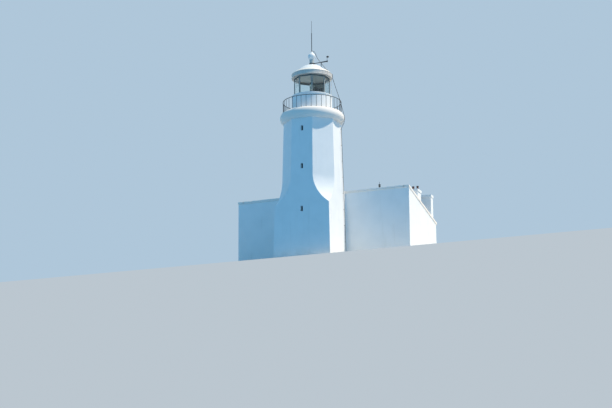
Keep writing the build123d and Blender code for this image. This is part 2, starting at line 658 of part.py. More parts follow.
def rear_wall(back_inner, drop):
    """The rear wall: full-height piers, and the masonry under and over each opening."""
    openings = []
    for index, centre in enumerate(REAR_CENTRES):
        width = REAR_DOOR_WIDTH if index == REAR_DOOR_INDEX else REAR_WINDOW_WIDTH
        openings.append((centre - width / 2, centre + width / 2))
    edges = [INNER_LEFT] + [edge for pair in openings for edge in pair] + [INNER_RIGHT]
    piers = [wall_below(back_inner, HOUSE_BACK, drop, edges[i], edges[i + 1]) for i in range(0, len(edges), 2)]
    save("rear_wall_piers", piers)
    panels = []
    frames = []
    panes = []
    far = HOUSE_BACK - FRAME_SETBACK
    near = far - FRAME_DEPTH
    for index, (left, right) in enumerate(openings):
        door = index == REAR_DOOR_INDEX
        low = 0 if door else REAR_WINDOW_SILL
        head = REAR_DOOR_HEIGHT if door else REAR_WINDOW_HEAD
        panels.append(wall_below(back_inner, HOUSE_BACK, drop, left, right, head))
        if door:
            save("rear_door", box(left + JOINT, right - JOINT, near, far, JOINT, head - JOINT))
            continue
        panels.append(box(left, right, back_inner, HOUSE_BACK, 0, low))
        frame = box(left + JOINT, right - JOINT, near, far, low + JOINT, head - JOINT)
        clear = (left + FRAME_WIDTH, right - FRAME_WIDTH, low + FRAME_WIDTH, head - FRAME_WIDTH)
        frames.append(frame - box(clear[0], clear[1], near, far, clear[2], clear[3]))
        middle = (near + far) / 2
        panes.append(box(clear[0] + JOINT, clear[1] - JOINT, middle - WINDOW_GLASS / 2, middle + WINDOW_GLASS / 2,
                         clear[2] + JOINT, clear[3] - JOINT))
    save("rear_wall_panels", panels)
    save("rear_window_frames", frames)
    save("rear_window_glass", panes)


def chimneys(below):
    """Two stacks on the right-hand wall, and the pots on the front one."""
    stacks = []
    names = ["chimney_front", "chimney_rear"]
    for width, depth, setback, top in zip(CHIMNEY_WIDTHS, CHIMNEY_DEPTHS, CHIMNEY_SETBACKS, CHIMNEY_TOPS):
        y0 = FACADE + setback
        shaft = box(HOUSE_RIGHT - width, HOUSE_RIGHT, y0, y0 + depth, PARAPET_TOP / 2, top - CHIMNEY_CAP)
        over = CHIMNEY_CAP_OVERHANG
        cap = box(HOUSE_RIGHT - width - over, HOUSE_RIGHT + over, y0 - over, y0 + depth + over,
                  top - CHIMNEY_CAP, top)
        stack = (shaft - below).solids().sort_by(Axis.Z)[-1]
        stacks.append(stack + cap)
    for name, stack in zip(names, stacks):
        save(name, stack)
    pots = []
    middle_x = HOUSE_RIGHT - CHIMNEY_WIDTHS[0] / 2
    middle_y = FACADE + CHIMNEY_SETBACKS[0] + CHIMNEY_DEPTHS[0] / 2
    for side in (-1, 1):
        foot = CHIMNEY_TOPS[0]
        pot = turned_profile([
            (POT_BORE, foot), (POT_RADIUS, foot), (POT_WAIST, foot + POT_HEIGHT - POT_ROLL),
            (POT_RADIUS, foot + POT_HEIGHT - POT_RIM), (POT_RADIUS, foot + POT_HEIGHT),
            (POT_BORE, foot + POT_HEIGHT)])
        pots.append(Pos(middle_x + side * POT_SPACING / 2, middle_y, 0) * pot)
    save("chimney_pots", pots)


def coping_lamp():
    """The small dark lamp that stands on the right-hand front coping."""
    x = HOUSE_RIGHT - LAMP_FROM_RIGHT
    y = FACADE + HOUSE_WALL / 2
    foot = roof_line(y)
    under_cap = foot + LAMP_HEIGHT - LAMP_CAP_HEIGHT / 2
    post = Pos(x, y, foot + LAMP_HEIGHT / 4) * Cylinder(LAMP_STEM_RADIUS, LAMP_HEIGHT)
    head = Pos(x, y, under_cap - LAMP_HEAD_HEIGHT / 2) * Cylinder(LAMP_RADIUS, LAMP_HEAD_HEIGHT)
    cap = Pos(x, y, foot + LAMP_HEIGHT) * Cone(LAMP_CAP_RADIUS, LAMP_CAP_TOP_RADIUS, LAMP_CAP_HEIGHT)
    coping = sloped(FACADE - HOUSE_WALL, FACADE + HOUSE_WALL * 2, 0, COPING_THICKNESS * 2, 0, INNER_RIGHT)
    save("coping_lamp", post + head + cap - coping)


def main():
    """Builds every sub-part and writes its file."""
    os.makedirs("parts", exist_ok=True)
    envelope = tower_envelope()
    clear_envelope = tower_envelope(JOINT)
    tower_walls(envelope)
    save("tower_floor", Pos(0, 0, TOWER_FLOOR / 2) * Cylinder(WELL_RADIUS - JOINT, TOWER_FLOOR))
    slit_windows()
    gallery = gallery_solid()
    save("gallery_slab", gallery)
    railing = gallery_railing(gallery)
    save("gallery_railing", railing)
    lantern()
    eave, neck = roof()
    upper_vent()
    instrument_arm(neck)
    light()
    rain_pipe()
    conductor(envelope, gallery, railing, eave)
    house(clear_envelope)
    coping_lamp()


main()
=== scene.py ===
"""The looks of the lighthouse: finishes, small parts, light and camera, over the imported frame. Metres, +Z up."""

import json
import logging
import math
from collections.abc import Callable, Iterable, Sequence
from dataclasses import dataclass, field
from enum import Enum
from typing import Any

import bpy
from mathutils import Matrix, Vector

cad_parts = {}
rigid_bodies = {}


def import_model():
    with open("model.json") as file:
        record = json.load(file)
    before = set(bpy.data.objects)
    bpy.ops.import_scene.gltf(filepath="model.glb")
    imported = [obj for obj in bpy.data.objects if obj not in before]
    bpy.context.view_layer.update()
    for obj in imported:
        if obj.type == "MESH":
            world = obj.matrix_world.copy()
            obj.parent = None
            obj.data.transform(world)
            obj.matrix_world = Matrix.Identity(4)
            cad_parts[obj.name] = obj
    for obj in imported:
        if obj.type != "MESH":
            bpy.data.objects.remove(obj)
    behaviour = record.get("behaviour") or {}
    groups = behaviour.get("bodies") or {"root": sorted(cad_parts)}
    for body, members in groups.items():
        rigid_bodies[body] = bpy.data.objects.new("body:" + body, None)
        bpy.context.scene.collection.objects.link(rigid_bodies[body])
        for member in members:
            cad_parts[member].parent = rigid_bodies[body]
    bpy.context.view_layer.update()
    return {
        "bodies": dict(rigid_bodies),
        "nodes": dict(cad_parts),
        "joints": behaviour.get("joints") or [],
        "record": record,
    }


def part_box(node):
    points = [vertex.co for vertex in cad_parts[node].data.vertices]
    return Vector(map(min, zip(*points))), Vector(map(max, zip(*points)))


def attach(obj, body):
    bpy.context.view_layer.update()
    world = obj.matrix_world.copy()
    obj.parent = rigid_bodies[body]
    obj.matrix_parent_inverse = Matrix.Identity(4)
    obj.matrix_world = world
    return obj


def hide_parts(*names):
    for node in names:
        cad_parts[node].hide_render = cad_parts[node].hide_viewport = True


LOG = logging.getLogger("lighthouse")
BODY = "root"
ROUND = 48
TURN = 2 * math.pi

Point = tuple[float, float, float]
Colour = tuple[float, float, float]


class Slot(Enum):
    """The record's material slots."""

    MASONRY = "white_masonry"
    WHITE_METAL = "white_metal"
    DARK_METAL = "dark_metal"
    GLASS = "clear_glass"
    LENS = "lens_glass"
    CONCRETE = "grey_concrete"
    WOOD = "painted_wood"
    TERRACOTTA = "terracotta"


class Link:
    """A shader socket that takes part in plain arithmetic."""

    def __init__(self, shader: "Shader", socket: bpy.types.NodeSocket) -> None:
        """Wraps a socket of a shader."""
        self.shader = shader
        self.socket = socket

    def _maths(self, operation: str, other: Any) -> "Link":
        """Adds one Math node."""
        return self.shader.node("ShaderNodeMath", {"operation": operation}, {0: self, 1: other})

    def __add__(self, other: Any) -> "Link":
        """The sum."""
        return self._maths("ADD", other)

    def __mul__(self, other: Any) -> "Link":
        """The product."""
        return self._maths("MULTIPLY", other)

    __radd__ = __add__
    __rmul__ = __mul__

    def between(self, low: float, high: float) -> "Link":
        """This value stretched so that low becomes 0 and high becomes 1, smoothly and within those ends."""
        settings = {"interpolation_type": "SMOOTHSTEP"}
        return self.shader.node("ShaderNodeMapRange", settings, {0: self, 1: low, 2: high})


class Shader:
    """One procedural material in the making."""

    def __init__(self, name: str, rough: float, metal: float = 0.0, **constants: float) -> None:
        """Starts a material.

        Args:
            name: The material's name.
            rough: The roughness where nothing is linked to it.
            metal: The metallic value.
            constants: Other values of the surface shader, by socket name with _ for a space.
        """
        self.material = bpy.data.materials.new(name)
        self.material.use_nodes = True
        self.tree = self.material.node_tree
        self.surface = self.tree.nodes["Principled BSDF"]
        self.surface.inputs["Roughness"].default_value = rough
        self.surface.inputs["Metallic"].default_value = metal
        for key, value in constants.items():
            self.surface.inputs[key.replace("_", " ")].default_value = value
        self._place: Link | None = None

    def node(self, kind: str, settings: dict[str, Any], values: dict[Any, Any], output: int | str = 0) -> Link:
        """Adds any node.

        Args:
            kind: The node's type.
            settings: Its properties, set first.
            values: Values or links of its inputs, by number or name.
            output: The output to hand back.

        Returns:
            That output.
        """
        made = self.tree.nodes.new(kind)
        for key, value in settings.items():
            setattr(made, key, value)
        for key, value in values.items():
            self.join(value, made.inputs[key])
        return Link(self, made.outputs[output])

    def join(self, value: Any, target: bpy.types.NodeSocket) -> None:
        """Links or sets an input."""
        if isinstance(value, Link):
            self.tree.links.new(value.socket, target)
        elif isinstance(value, tuple) and len(value) == 3 and target.type == "RGBA":
            target.default_value = (*value, 1.0)
        else:
            target.default_value = value

    @property
    def place(self) -> Link:
        """Object coordinates, in metres."""
        if self._place is None:
            self._place = self.node("ShaderNodeTexCoord", {}, {}, "Object")
        return self._place

    def axis(self, name: str) -> Link:
        """One of the X, Y and Z of the place."""
        return self.node("ShaderNodeSeparateXYZ", {}, {0: self.place}, name)

    def noise(self, scale: float, stretch: Point = (1, 1, 1), detail: float = 4.0, shift: float = 0.0) -> Link:
        """Cloudy noise from 0 to 1.

        Args:
            scale: Lumps in a metre.
            stretch: The scale along each axis, times the first.
            detail: Finer and finer layers.
            shift: A way along, so that two noises differ.

        Returns:
            The noise's factor.
        """
        away = (shift, shift * 1.7, shift * 0.6)
        moved = self.node("ShaderNodeMapping", {}, {"Vector": self.place, "Scale": stretch, "Location": away})
        return self.node("ShaderNodeTexNoise", {}, {"Vector": moved, "Scale": scale, "Detail": detail}, "Fac")

    def blend(self, amount: Any, first: Any, second: Any) -> Link:
        """A colour between two, by an amount from 0 to 1."""
        return self.node("ShaderNodeMix", {"data_type": "RGBA"}, {0: amount, 6: first, 7: second}, 2)

    def finish(self, colour: Any, rough: Any = None, height: Link | None = None,
               depth: float = 0.0) -> bpy.types.Material:
        """Closes the material.

        Args:
            colour: The base colour.
            rough: A varying roughness.
            height: Relief from 0 to 1.
            depth: The relief's depth in metres.

        Returns:
            The material.
        """
        self.join(colour, self.surface.inputs["Base Color"])
        if rough is not None:
            self.join(rough, self.surface.inputs["Roughness"])
        if height is not None:
            values = {"Strength": 1.0, "Distance": depth, "Height": height}
            self.join(self.node("ShaderNodeBump", {}, values, "Normal"), self.surface.inputs["Normal"])
        return self.material


@dataclass(frozen=True)
class LimeWash:
    """Rendered masonry under many coats of white paint, with faint rain streaks."""

    name: str = "lime_wash"
    white: Colour = (0.88, 0.885, 0.88)
    grey: Colour = (0.74, 0.76, 0.76)
    stain: Colour = (0.56, 0.55, 0.50)
    trowel: float = 0.0035

    def make(self) -> bpy.types.Material:
        """The material."""
        shader = Shader(self.name, 0.78, Specular_IOR_Level=0.25)
        clouds = shader.noise(0.9, detail=6).between(0.35, 0.75)
        streaks = shader.noise(2.4, (1, 1, 0.10), 8, 3.0).between(0.56, 0.78)
        patches = shader.noise(1.6, detail=8, shift=7.0).between(0.35, 0.65)
        damp = shader.axis("Z").between(1.1, 0.0) * patches
        base = shader.blend(clouds * 0.30, self.white, self.grey)
        washed = shader.blend(streaks * 0.20, base, self.stain)
        colour = shader.blend(damp * 0.25, washed, self.stain)
        waves = shader.noise(3.2, detail=3, shift=1.0)
        grit = shader.noise(55.0, detail=5, shift=2.0)
        height = waves * 0.7 + grit * 0.3
        rough = 0.70 + grit * 0.18
        return shader.finish(colour, rough, height, self.trowel)


@dataclass(frozen=True)
class Enamel:
    """Gloss paint on iron, with brush marks, chalking and a little rust where it is worn."""

    name: str = "white_enamel"
    paint: Colour = (0.83, 0.845, 0.84)
    faded: Colour = (0.68, 0.71, 0.71)
    rust: Colour = (0.30, 0.13, 0.06)
    rough: float = 0.38
    worn: float = 0.25

    def make(self) -> bpy.types.Material:
        """The material."""
        shader = Shader(self.name, self.rough, Coat_Weight=0.15, Coat_Roughness=0.25)
        chalk = shader.noise(2.5, detail=6).between(0.35, 0.8)
        spots = shader.noise(18.0, detail=8, shift=4.0).between(0.68, 0.74)
        runs = shader.noise(7.0, (1, 1, 0.12), 6, 9.0).between(0.60, 0.75)
        colour = shader.blend(chalk * 0.5, self.paint, self.faded)
        colour = shader.blend(spots * runs * self.worn * 3.0, colour, self.rust)
        brush = shader.noise(40.0, (1, 1, 0.2), 4, 5.0)
        return shader.finish(colour, self.rough + chalk * 0.2, brush, 0.0008)


@dataclass(frozen=True)
class EavePaint:
    """White paint on the coving of the eave; below its edge the colour is darker and warmer, and rust runs down there.
    """

    white: Colour = (0.85, 0.80, 0.72)
    # The darker, warmer colour below the eave's edge, on the upright face and the underside.
    dull: Colour = (0.56, 0.52, 0.48)
    rust: Colour = (0.36, 0.19, 0.12)
    edge: float = 16.15

    def make(self) -> bpy.types.Material:
        """The material."""
        shader = Shader("eave_paint", 0.5, Coat_Weight=0.1, Coat_Roughness=0.3)
        face = shader.axis("Z").between(self.edge + 0.02, self.edge - 0.02)
        chalk = shader.noise(3.0, detail=6).between(0.35, 0.8)
        runs = shader.noise(9.0, (1, 1, 0.10), 6, 9.0).between(0.52, 0.70)
        colour = shader.blend(face * (0.55 + chalk * 0.45), self.white, self.dull)
        colour = shader.blend(face * runs * 0.45, colour, self.rust)
        brush = shader.noise(40.0, (1, 1, 0.2), 4, 5.0)
        return shader.finish(colour, 0.42 + chalk * 0.2, brush, 0.0008)


@dataclass(frozen=True)
class ClearGlass:
    """Plain window glass with a little salt on it."""

    name: str = "window_glass"
    tint: Colour = (0.90, 0.97, 0.97)

    def make(self) -> bpy.types.Material:
        """The material."""
        shader = Shader(self.name, 0.03, IOR=1.45, Transmission_Weight=1.0)
        salt = shader.noise(9.0, detail=8).between(0.45, 0.85)
        return shader.finish(self.tint, 0.02 + salt * 0.10)


@dataclass(frozen=True)
class LensGlass:
    """Thick greenish glass of the drum lens."""

    tint: Colour = (0.74, 0.90, 0.84)

    def make(self) -> bpy.types.Material:
        """The material."""
        shader = Shader("lens_glass", 0.05, IOR=1.52, Transmission_Weight=0.85)
        bubbles = shader.noise(30.0, detail=3).between(0.55, 0.8)
        return shader.finish(self.tint, 0.04 + bubbles * 0.05)


@dataclass(frozen=True)
class Concrete:
    """Grey screed and slab concrete, a little stained."""

    pale: Colour = (0.50, 0.50, 0.48)
    dark: Colour = (0.34, 0.34, 0.33)

    def make(self) -> bpy.types.Material:
        """The material."""
        shader = Shader("concrete", 0.85)
        stains = shader.noise(1.4, detail=8).between(0.3, 0.7)
        grit = shader.noise(70.0, detail=4, shift=3.0)
        colour = shader.blend(stains, self.pale, self.dark)
        colour = shader.blend(grit * 0.25, colour, self.dark)
        return shader.finish(colour, 0.75 + grit * 0.15, grit, 0.0015)


@dataclass(frozen=True)
class Earthenware:
    """Fired clay, sooted from the top down."""

    clay: Colour = (0.17, 0.075, 0.060)
    soot: Colour = (0.035, 0.028, 0.027)

    def make(self) -> bpy.types.Material:
        """The material."""
        shader = Shader("sooted_clay", 0.8)
        height = shader.axis("Z").between(6.30, 6.60)
        cloud = shader.noise(14.0, detail=6)
        colour = shader.blend(height * 0.6 + cloud * 0.35, self.clay, self.soot)
        return shader.finish(colour, 0.65 + cloud * 0.25, cloud, 0.0015)


@dataclass(frozen=True)
class PaintedWood:
    """White paint on boards, its grain just showing."""

    name: str = "painted_wood"
    paint: Colour = (0.80, 0.82, 0.81)
    grain: Colour = (0.58, 0.57, 0.53)

    def make(self) -> bpy.types.Material:
        """The material."""
        shader = Shader(self.name, 0.45, Coat_Weight=0.1)
        fibres = shader.noise(28.0, (1, 1, 0.06), 6).between(0.45, 0.8)
        colour = shader.blend(fibres * 0.45, self.paint, self.grain)
        return shader.finish(colour, 0.40 + fibres * 0.2, fibres, 0.0008)


@dataclass(frozen=True)
class Slate:
    """Blue-grey slates, each a little different, with pale patches of bloom."""

    blue: Colour = (0.085, 0.10, 0.12)
    grey: Colour = (0.17, 0.175, 0.175)
    bloom: Colour = (0.33, 0.34, 0.29)
    wide: float = 0.300
    gauge: float = 0.220

    def make(self) -> bpy.types.Material:
        """The material."""
        shader = Shader("slate", 0.6)
        pitch = (1 / self.wide, 1 / self.gauge, 0.0)
        cells = shader.node("ShaderNodeMapping", {}, {"Vector": shader.place, "Scale": pitch})
        tone = shader.node("ShaderNodeTexVoronoi", {}, {"Vector": cells, "Scale": 1.0}, "Color")
        each = shader.node("ShaderNodeSeparateXYZ", {}, {0: tone}, "X")
        veins = shader.noise(30.0, (1, 0.25, 1), 6)
        patches = shader.noise(3.5, detail=9, shift=5.0).between(0.60, 0.72)
        colour = shader.blend(each * 0.7 + veins * 0.3, self.blue, self.grey)
        colour = shader.blend(patches * 0.6, colour, self.bloom)
        return shader.finish(colour, 0.45 + veins * 0.25, veins, 0.0012)


@dataclass(frozen=True)
class Lead:
    """Dressed sheet lead, dull, with white bloom."""

    dull: Colour = (0.20, 0.21, 0.22)
    bloom: Colour = (0.42, 0.43, 0.43)

    def make(self) -> bpy.types.Material:
        """The material."""
        shader = Shader("sheet_lead", 0.55, 0.6)
        cloud = shader.noise(5.0, detail=7).between(0.4, 0.7)
        dents = shader.noise(9.0, detail=3, shift=2.0)
        return shader.finish(shader.blend(cloud, self.dull, self.bloom), 0.45 + cloud * 0.25, dents, 0.003)


@dataclass(frozen=True)
class Finishes:
    """Every finish of the building, each made once."""

    made: dict[str, bpy.types.Material] = field(default_factory=dict)

    def get(self, finish: Any) -> bpy.types.Material:
        """The material of a finish, made the first time that it is asked for."""
        key = repr(finish)
        if key not in self.made:
            self.made[key] = finish.make()
        return self.made[key]


WHITE = LimeWash()
ENAMEL = Enamel()
BLACK = Enamel("black_paint", (0.028, 0.032, 0.038), (0.060, 0.064, 0.070), (0.16, 0.06, 0.03), 0.42, 0.5)
POST_GREY = Enamel("post_paint", (0.36, 0.37, 0.34), (0.28, 0.29, 0.27), (0.24, 0.12, 0.06), 0.45, 0.3)
HEAD_GREY = Enamel("head_paint", (0.085, 0.115, 0.115), (0.11, 0.13, 0.13), (0.16, 0.07, 0.04), 0.5, 0.4)
EAVE = EavePaint()
# Near-black paint on the slits' frames: partly their own dark paint, partly painted shade of the slit's recess.
DARK_SASH = PaintedWood("dark_sash", (0.035, 0.042, 0.050), (0.025, 0.028, 0.030))
# A warmer, darker copy of the lime wash: painted warm bounce light on the shaded gallery slab and coping stones.
BOUNCE_TINTED_WASH = LimeWash("salted_wash", (0.89, 0.83, 0.77), (0.79, 0.73, 0.66))
STEEL_GREY = Enamel("grey_paint", (0.30, 0.33, 0.33), (0.24, 0.26, 0.26), (0.20, 0.10, 0.05), 0.5, 0.2)
GLASS = ClearGlass()
LENS = LensGlass()
CONCRETE = Concrete()
CLAY = Earthenware()
WOOD = PaintedWood()
DOOR_PAINT = PaintedWood("door_paint", (0.10, 0.22, 0.30), (0.07, 0.15, 0.20))
SLATE = Slate()
LEAD = Lead()
# Mid-grey paint on the vent's neck under the ball: partly its own grey, partly painted shade of the ball.
VENT_GREY = Enamel("vent_paint", (0.50, 0.52, 0.51), (0.40, 0.42, 0.41))
# Near-black glass for the slit windows: painted shade of the dark tower well behind them.
SLIT_SHADE_GLASS = ClearGlass("deep_glass", (0.05, 0.06, 0.07))
SMOKED = ClearGlass("smoked_glass", (0.16, 0.18, 0.18))


def only(*objects: bpy.types.Object) -> None:
    """Selects these objects alone, the first one active."""
    bpy.ops.object.select_all(action="DESELECT")
    for item in objects:
        item.select_set(True)
    bpy.context.view_layer.objects.active = objects[0]


def settle(item: bpy.types.Object) -> bpy.types.Object:
    """Moves an object's place and turn into its mesh, so that it sits at the origin."""
    only(item)
    bpy.ops.object.transform_apply(location=True, rotation=True, scale=True)
    return item


def edit(item: bpy.types.Object, *steps: Callable[[], Any]) -> bpy.types.Object:
    """Runs modelling steps on a whole mesh in edit mode."""
    only(item)
    bpy.ops.object.mode_set(mode="EDIT")
    bpy.ops.mesh.select_all(action="SELECT")
    for step in steps:
        step()
    bpy.ops.object.mode_set(mode="OBJECT")
    return item


def block(low: Point, high: Point, edge: float = 0.004, turn: float = 0.0) -> bpy.types.Object:
    """A block with softened edges.

    Args:
        low: Its lowest corner.
        high: Its highest corner.
        edge: How much its edges are softened.
        turn: Degrees by which it is turned round the tower's axis.

    Returns:
        The block.
    """
    centre = [(a + b) / 2 for a, b in zip(low, high, strict=True)]
    size = [abs(b - a) for a, b in zip(low, high, strict=True)]
    bpy.ops.object.select_all(action="DESELECT")
    bpy.ops.mesh.primitive_cube_add(size=1, location=centre)
    item = bpy.context.object
    item.scale = size
    settle(item)
    if edge:
        edit(item, lambda: bpy.ops.mesh.bevel(offset=min(edge, min(size) * 0.45), segments=2, affect="EDGES"))
    item.matrix_world = Matrix.Rotation(math.radians(turn), 4, "Z")
    return settle(item)


def turned(outline: Sequence[tuple[float, float]], centre: Point = (0, 0, 0), steps: int = ROUND,
           closed: bool = False) -> bpy.types.Object:
    """A turned solid.

    Args:
        outline: Its half section as (radius, height) pairs, from the bottom up.
        centre: The place of its axis.
        steps: Facets round it.
        closed: Whether the outline closes on itself, as a ring's does.

    Returns:
        The solid.
    """
    mesh = bpy.data.meshes.new("turned")
    item = bpy.data.objects.new("turned", mesh)
    bpy.context.collection.objects.link(item)
    points = [(centre[0] + radius, centre[1], centre[2] + height) for radius, height in outline]
    edges = [(i, i + 1) for i in range(len(points) - 1)]
    if closed:
        edges.append((len(points) - 1, 0))
    mesh.from_pydata(points, edges, [])
    return edit(
        item,
        lambda: bpy.ops.mesh.spin(steps=steps, angle=TURN, center=centre, axis=(0, 0, 1)),
        lambda: bpy.ops.mesh.select_all(action="SELECT"),
        lambda: bpy.ops.mesh.remove_doubles(threshold=0.0001),
        lambda: bpy.ops.mesh.normals_make_consistent(inside=False),
    )


def rod(start: Point, end: Point, radius: float, sides: int = 16) -> bpy.types.Object:
    """A straight round rod between two points."""
    first, last = Vector(start), Vector(end)
    bpy.ops.object.select_all(action="DESELECT")
    bpy.ops.mesh.primitive_cylinder_add(vertices=sides, radius=radius, depth=(last - first).length)
    item = bpy.context.object
    item.rotation_mode = "QUATERNION"
    item.rotation_quaternion = (last - first).to_track_quat("Z", "Y")
    item.location = (first + last) / 2
    return settle(item)


def repeated(item: bpy.types.Object, moves: Iterable[Matrix]) -> list[bpy.types.Object]:
    """Copies of one piece, each with its own mesh; the pattern itself is removed."""
    copies = []
    for move in moves:
        copy = item.copy()
        copy.data = item.data.copy()
        bpy.context.collection.objects.link(copy)
        copy.matrix_world = move
        copies.append(settle(copy))
    bpy.data.objects.remove(item)
    return copies


def round_the_axis(count: int, start: float = 0.0) -> list[Matrix]:
    """Turns round the tower's axis, evenly spaced."""
    return [Matrix.Rotation(math.radians(start + 360.0 * i / count), 4, "Z") for i in range(count)]


def azimuth_point(azimuth: float, radius: float, height: float) -> Point:
    """A point by its azimuth from the front toward the right, its distance from the axis and its height."""
    angle = math.radians(azimuth)
    return (radius * math.sin(angle), -radius * math.cos(angle), height)


@dataclass
class Yard:
    """Finishes pieces: joins them, gives them their material and hands them to the frame."""

    finishes: Finishes

    def piece(self, name: str, parts: Sequence[bpy.types.Object], finish: Any, slot: Slot, *nodes: str,
              smooth: float = 35.0) -> bpy.types.Object:
        """Joins parts into one finished piece.

        Args:
            name: The piece's name.
            parts: What it is made of.
            finish: Its finish.
            slot: The record's material slot; not used.
            nodes: The frame's nodes that it stands for.
            smooth: The angle in degrees under which its faces are shaded as one.

        Returns:
            The piece.
        """
        only(*parts)
        if len(parts) > 1:
            bpy.ops.object.join()
        made = bpy.context.object
        made.name = name
        made.data.name = name
        made.data.materials.clear()
        made.data.materials.append(self.finishes.get(finish))
        bpy.ops.object.shade_smooth_by_angle(angle=math.radians(smooth))
        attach(made, BODY)
        if nodes:
            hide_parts(*nodes)
        LOG.info("%s: %d faces", name, len(made.data.polygons))
        return made


@dataclass
class Camera:
    """The photograph's viewpoint: low, far off, and to the right of the tower's front."""

    distance: float = 121.2
    azimuth: float = 22.54
    height: float = -23.5
    turn: float = 0.271
    tilt: float = 13.21
    roll: float = -0.396
    lens: float = 88.2

    def build(self) -> None:
        """Adds the camera and makes it the scene's own."""
        bpy.ops.object.camera_add()
        camera = bpy.context.object
        camera.name = "camera"
        place = Vector(azimuth_point(self.azimuth, self.distance, self.height))
        turn = Matrix.Rotation(math.radians(self.azimuth) + math.radians(self.turn), 4, "Z")
        tilt = Matrix.Rotation(math.radians(90 + self.tilt), 4, "X")
        roll = Matrix.Rotation(math.radians(self.roll), 4, "Z")
        camera.matrix_world = Matrix.Translation(place) @ turn @ tilt @ roll
        camera.data.lens = self.lens
        camera.data.sensor_width = 36.0
        camera.data.clip_end = 2000.0
        bpy.context.scene.camera = camera


@dataclass
class Studio:
    """Pale surroundings: a block of floor cut off just before the tower, soft light all round and one sun."""

    front: float = -3.2
    size: float = 160.0
    drop: float = 0.002
    floor: Colour = (0.62, 0.60, 0.56)
    apron: Colour = (0.50, 0.57, 0.63)
    backdrop: Colour = (0.43, 0.57, 0.70)
    fill: Colour = (0.25, 0.64, 1.06)
    fill_strength: float = 0.62
    sun_toward: Point = (0.483, 0.094, 0.870)
    sun_strength: float = 4.4
    sun_tint: Colour = (1.0, 0.87, 0.70)
    sun_angle: float = 1.5

    def build(self) -> None:
        """Adds the floor, the world and the sun."""
        self._floor()
        self._world()
        bpy.ops.object.light_add(type="SUN")
        sun = bpy.context.object
        sun.name = "sun"
        sun.data.energy = self.sun_strength
        sun.data.angle = math.radians(self.sun_angle)
        sun.data.color = self.sun_tint
        sun.rotation_mode = "QUATERNION"
        sun.rotation_quaternion = Vector(self.sun_toward).to_track_quat("Z", "Y")

    def _floor(self) -> None:
        """A block whose top is the ground and whose front face stands before the tower."""
        bpy.ops.mesh.primitive_cube_add(size=self.size)
        floor = bpy.context.object
        floor.name = "floor"
        floor.location = (0, self.front + self.size / 2, -self.size / 2 - self.drop)
        floor.data.materials.append(Shader("floor", 0.9).finish(self.floor))
        floor.data.materials.append(self._apron())
        for face in floor.data.polygons:
            if face.normal.y < -0.5:
                face.material_index = 1

    def _apron(self) -> bpy.types.Material:
        """The plain cut face of the floor: the camera, which looks from below, sees one pale tone on it."""
        shader = Shader("apron", 0.9)
        material = shader.finish(self.floor)
        tree = material.node_tree
        path = tree.nodes.new("ShaderNodeLightPath")
        plain = tree.nodes.new("ShaderNodeEmission")
        plain.inputs["Color"].default_value = (*self.apron, 1)
        self._mix(tree, path.outputs["Is Camera Ray"], shader.surface, plain, "Material Output")
        return material

    def _world(self) -> None:
        """Soft light from all sides, seen as a plain backdrop directly, in gloss and through glass."""
        world = bpy.data.worlds.new("studio")
        bpy.context.scene.world = world
        world.use_nodes = True
        tree = world.node_tree
        light = tree.nodes["Background"]
        light.inputs[0].default_value = (*self.fill, 1)
        light.inputs[1].default_value = self.fill_strength
        seen = tree.nodes.new("ShaderNodeBackground")
        seen.inputs[0].default_value = (*self.backdrop, 1)
        path = tree.nodes.new("ShaderNodeLightPath")
        rays = path.outputs["Is Camera Ray"]
        for name in ("Is Glossy Ray", "Is Transmission Ray"):
            either = tree.nodes.new("ShaderNodeMath")
            either.operation = "MAXIMUM"
            tree.links.new(rays, either.inputs[0])
            tree.links.new(path.outputs[name], either.inputs[1])
            rays = either.outputs[0]
        self._mix(tree, rays, light, seen, "World Output")

    @staticmethod
    def _mix(tree: bpy.types.NodeTree, amount: bpy.types.NodeSocket, lit: bpy.types.Node,
             plain: bpy.types.Node, output: str) -> None:
        """Shows one shader to most rays and a plain one to some.

        Args:
            tree: The node tree.
            amount: 1 for the rays that see the plain shader.
            lit: The shader for the others.
            plain: The plain shader.
            output: The name of the tree's output node.
        """
        mix = tree.nodes.new("ShaderNodeMixShader")
        for number, socket in enumerate((amount, lit.outputs[0], plain.outputs[0])):
            tree.links.new(socket, mix.inputs[number])
        tree.links.new(mix.outputs[0], tree.nodes[output].inputs[0])


def dress(frame: dict[str, Any], finishes: Finishes) -> None:
    """Gives each node of the frame its finish.

    Args:
        frame: The loaded frame.
        finishes: The building's finishes.
    """
    by_slot = {
        Slot.MASONRY.value: WHITE,
        Slot.WHITE_METAL.value: ENAMEL,
        Slot.DARK_METAL.value: BLACK,
        Slot.GLASS.value: GLASS,
        Slot.LENS.value: LENS,
        Slot.CONCRETE.value: CONCRETE,
        Slot.WOOD.value: WOOD,
        Slot.TERRACOTTA.value: CLAY,
    }
    by_node = {
        "lantern_posts": POST_GREY,
        "lantern_blank_panel": POST_GREY,
        "lantern_head": HEAD_GREY,
        "eave_ring": EAVE,
        # The gallery slab takes the warm-tinted wash: painted bounce light in its shade.
        "gallery_slab": BOUNCE_TINTED_WASH,
        # The neck under the ball is darker grey: partly its paint, partly painted shade.
        "vent_neck": VENT_GREY,
        # The slits' frames are near-black: partly their own paint, partly painted shade of the recess.
        "slit_window_frames": DARK_SASH,
        # The slits' near-black glass is painted shade of the well behind it.
        "slit_window_glass": SLIT_SHADE_GLASS,
    }
    slots = {part["node"]: part["material_slot"] for part in frame["record"]["subparts"]}
    for name, node in frame["nodes"].items():
        finish = by_node.get(name, by_slot[slots[name]])
        node.data.materials.clear()
        node.data.materials.append(finishes.get(finish))


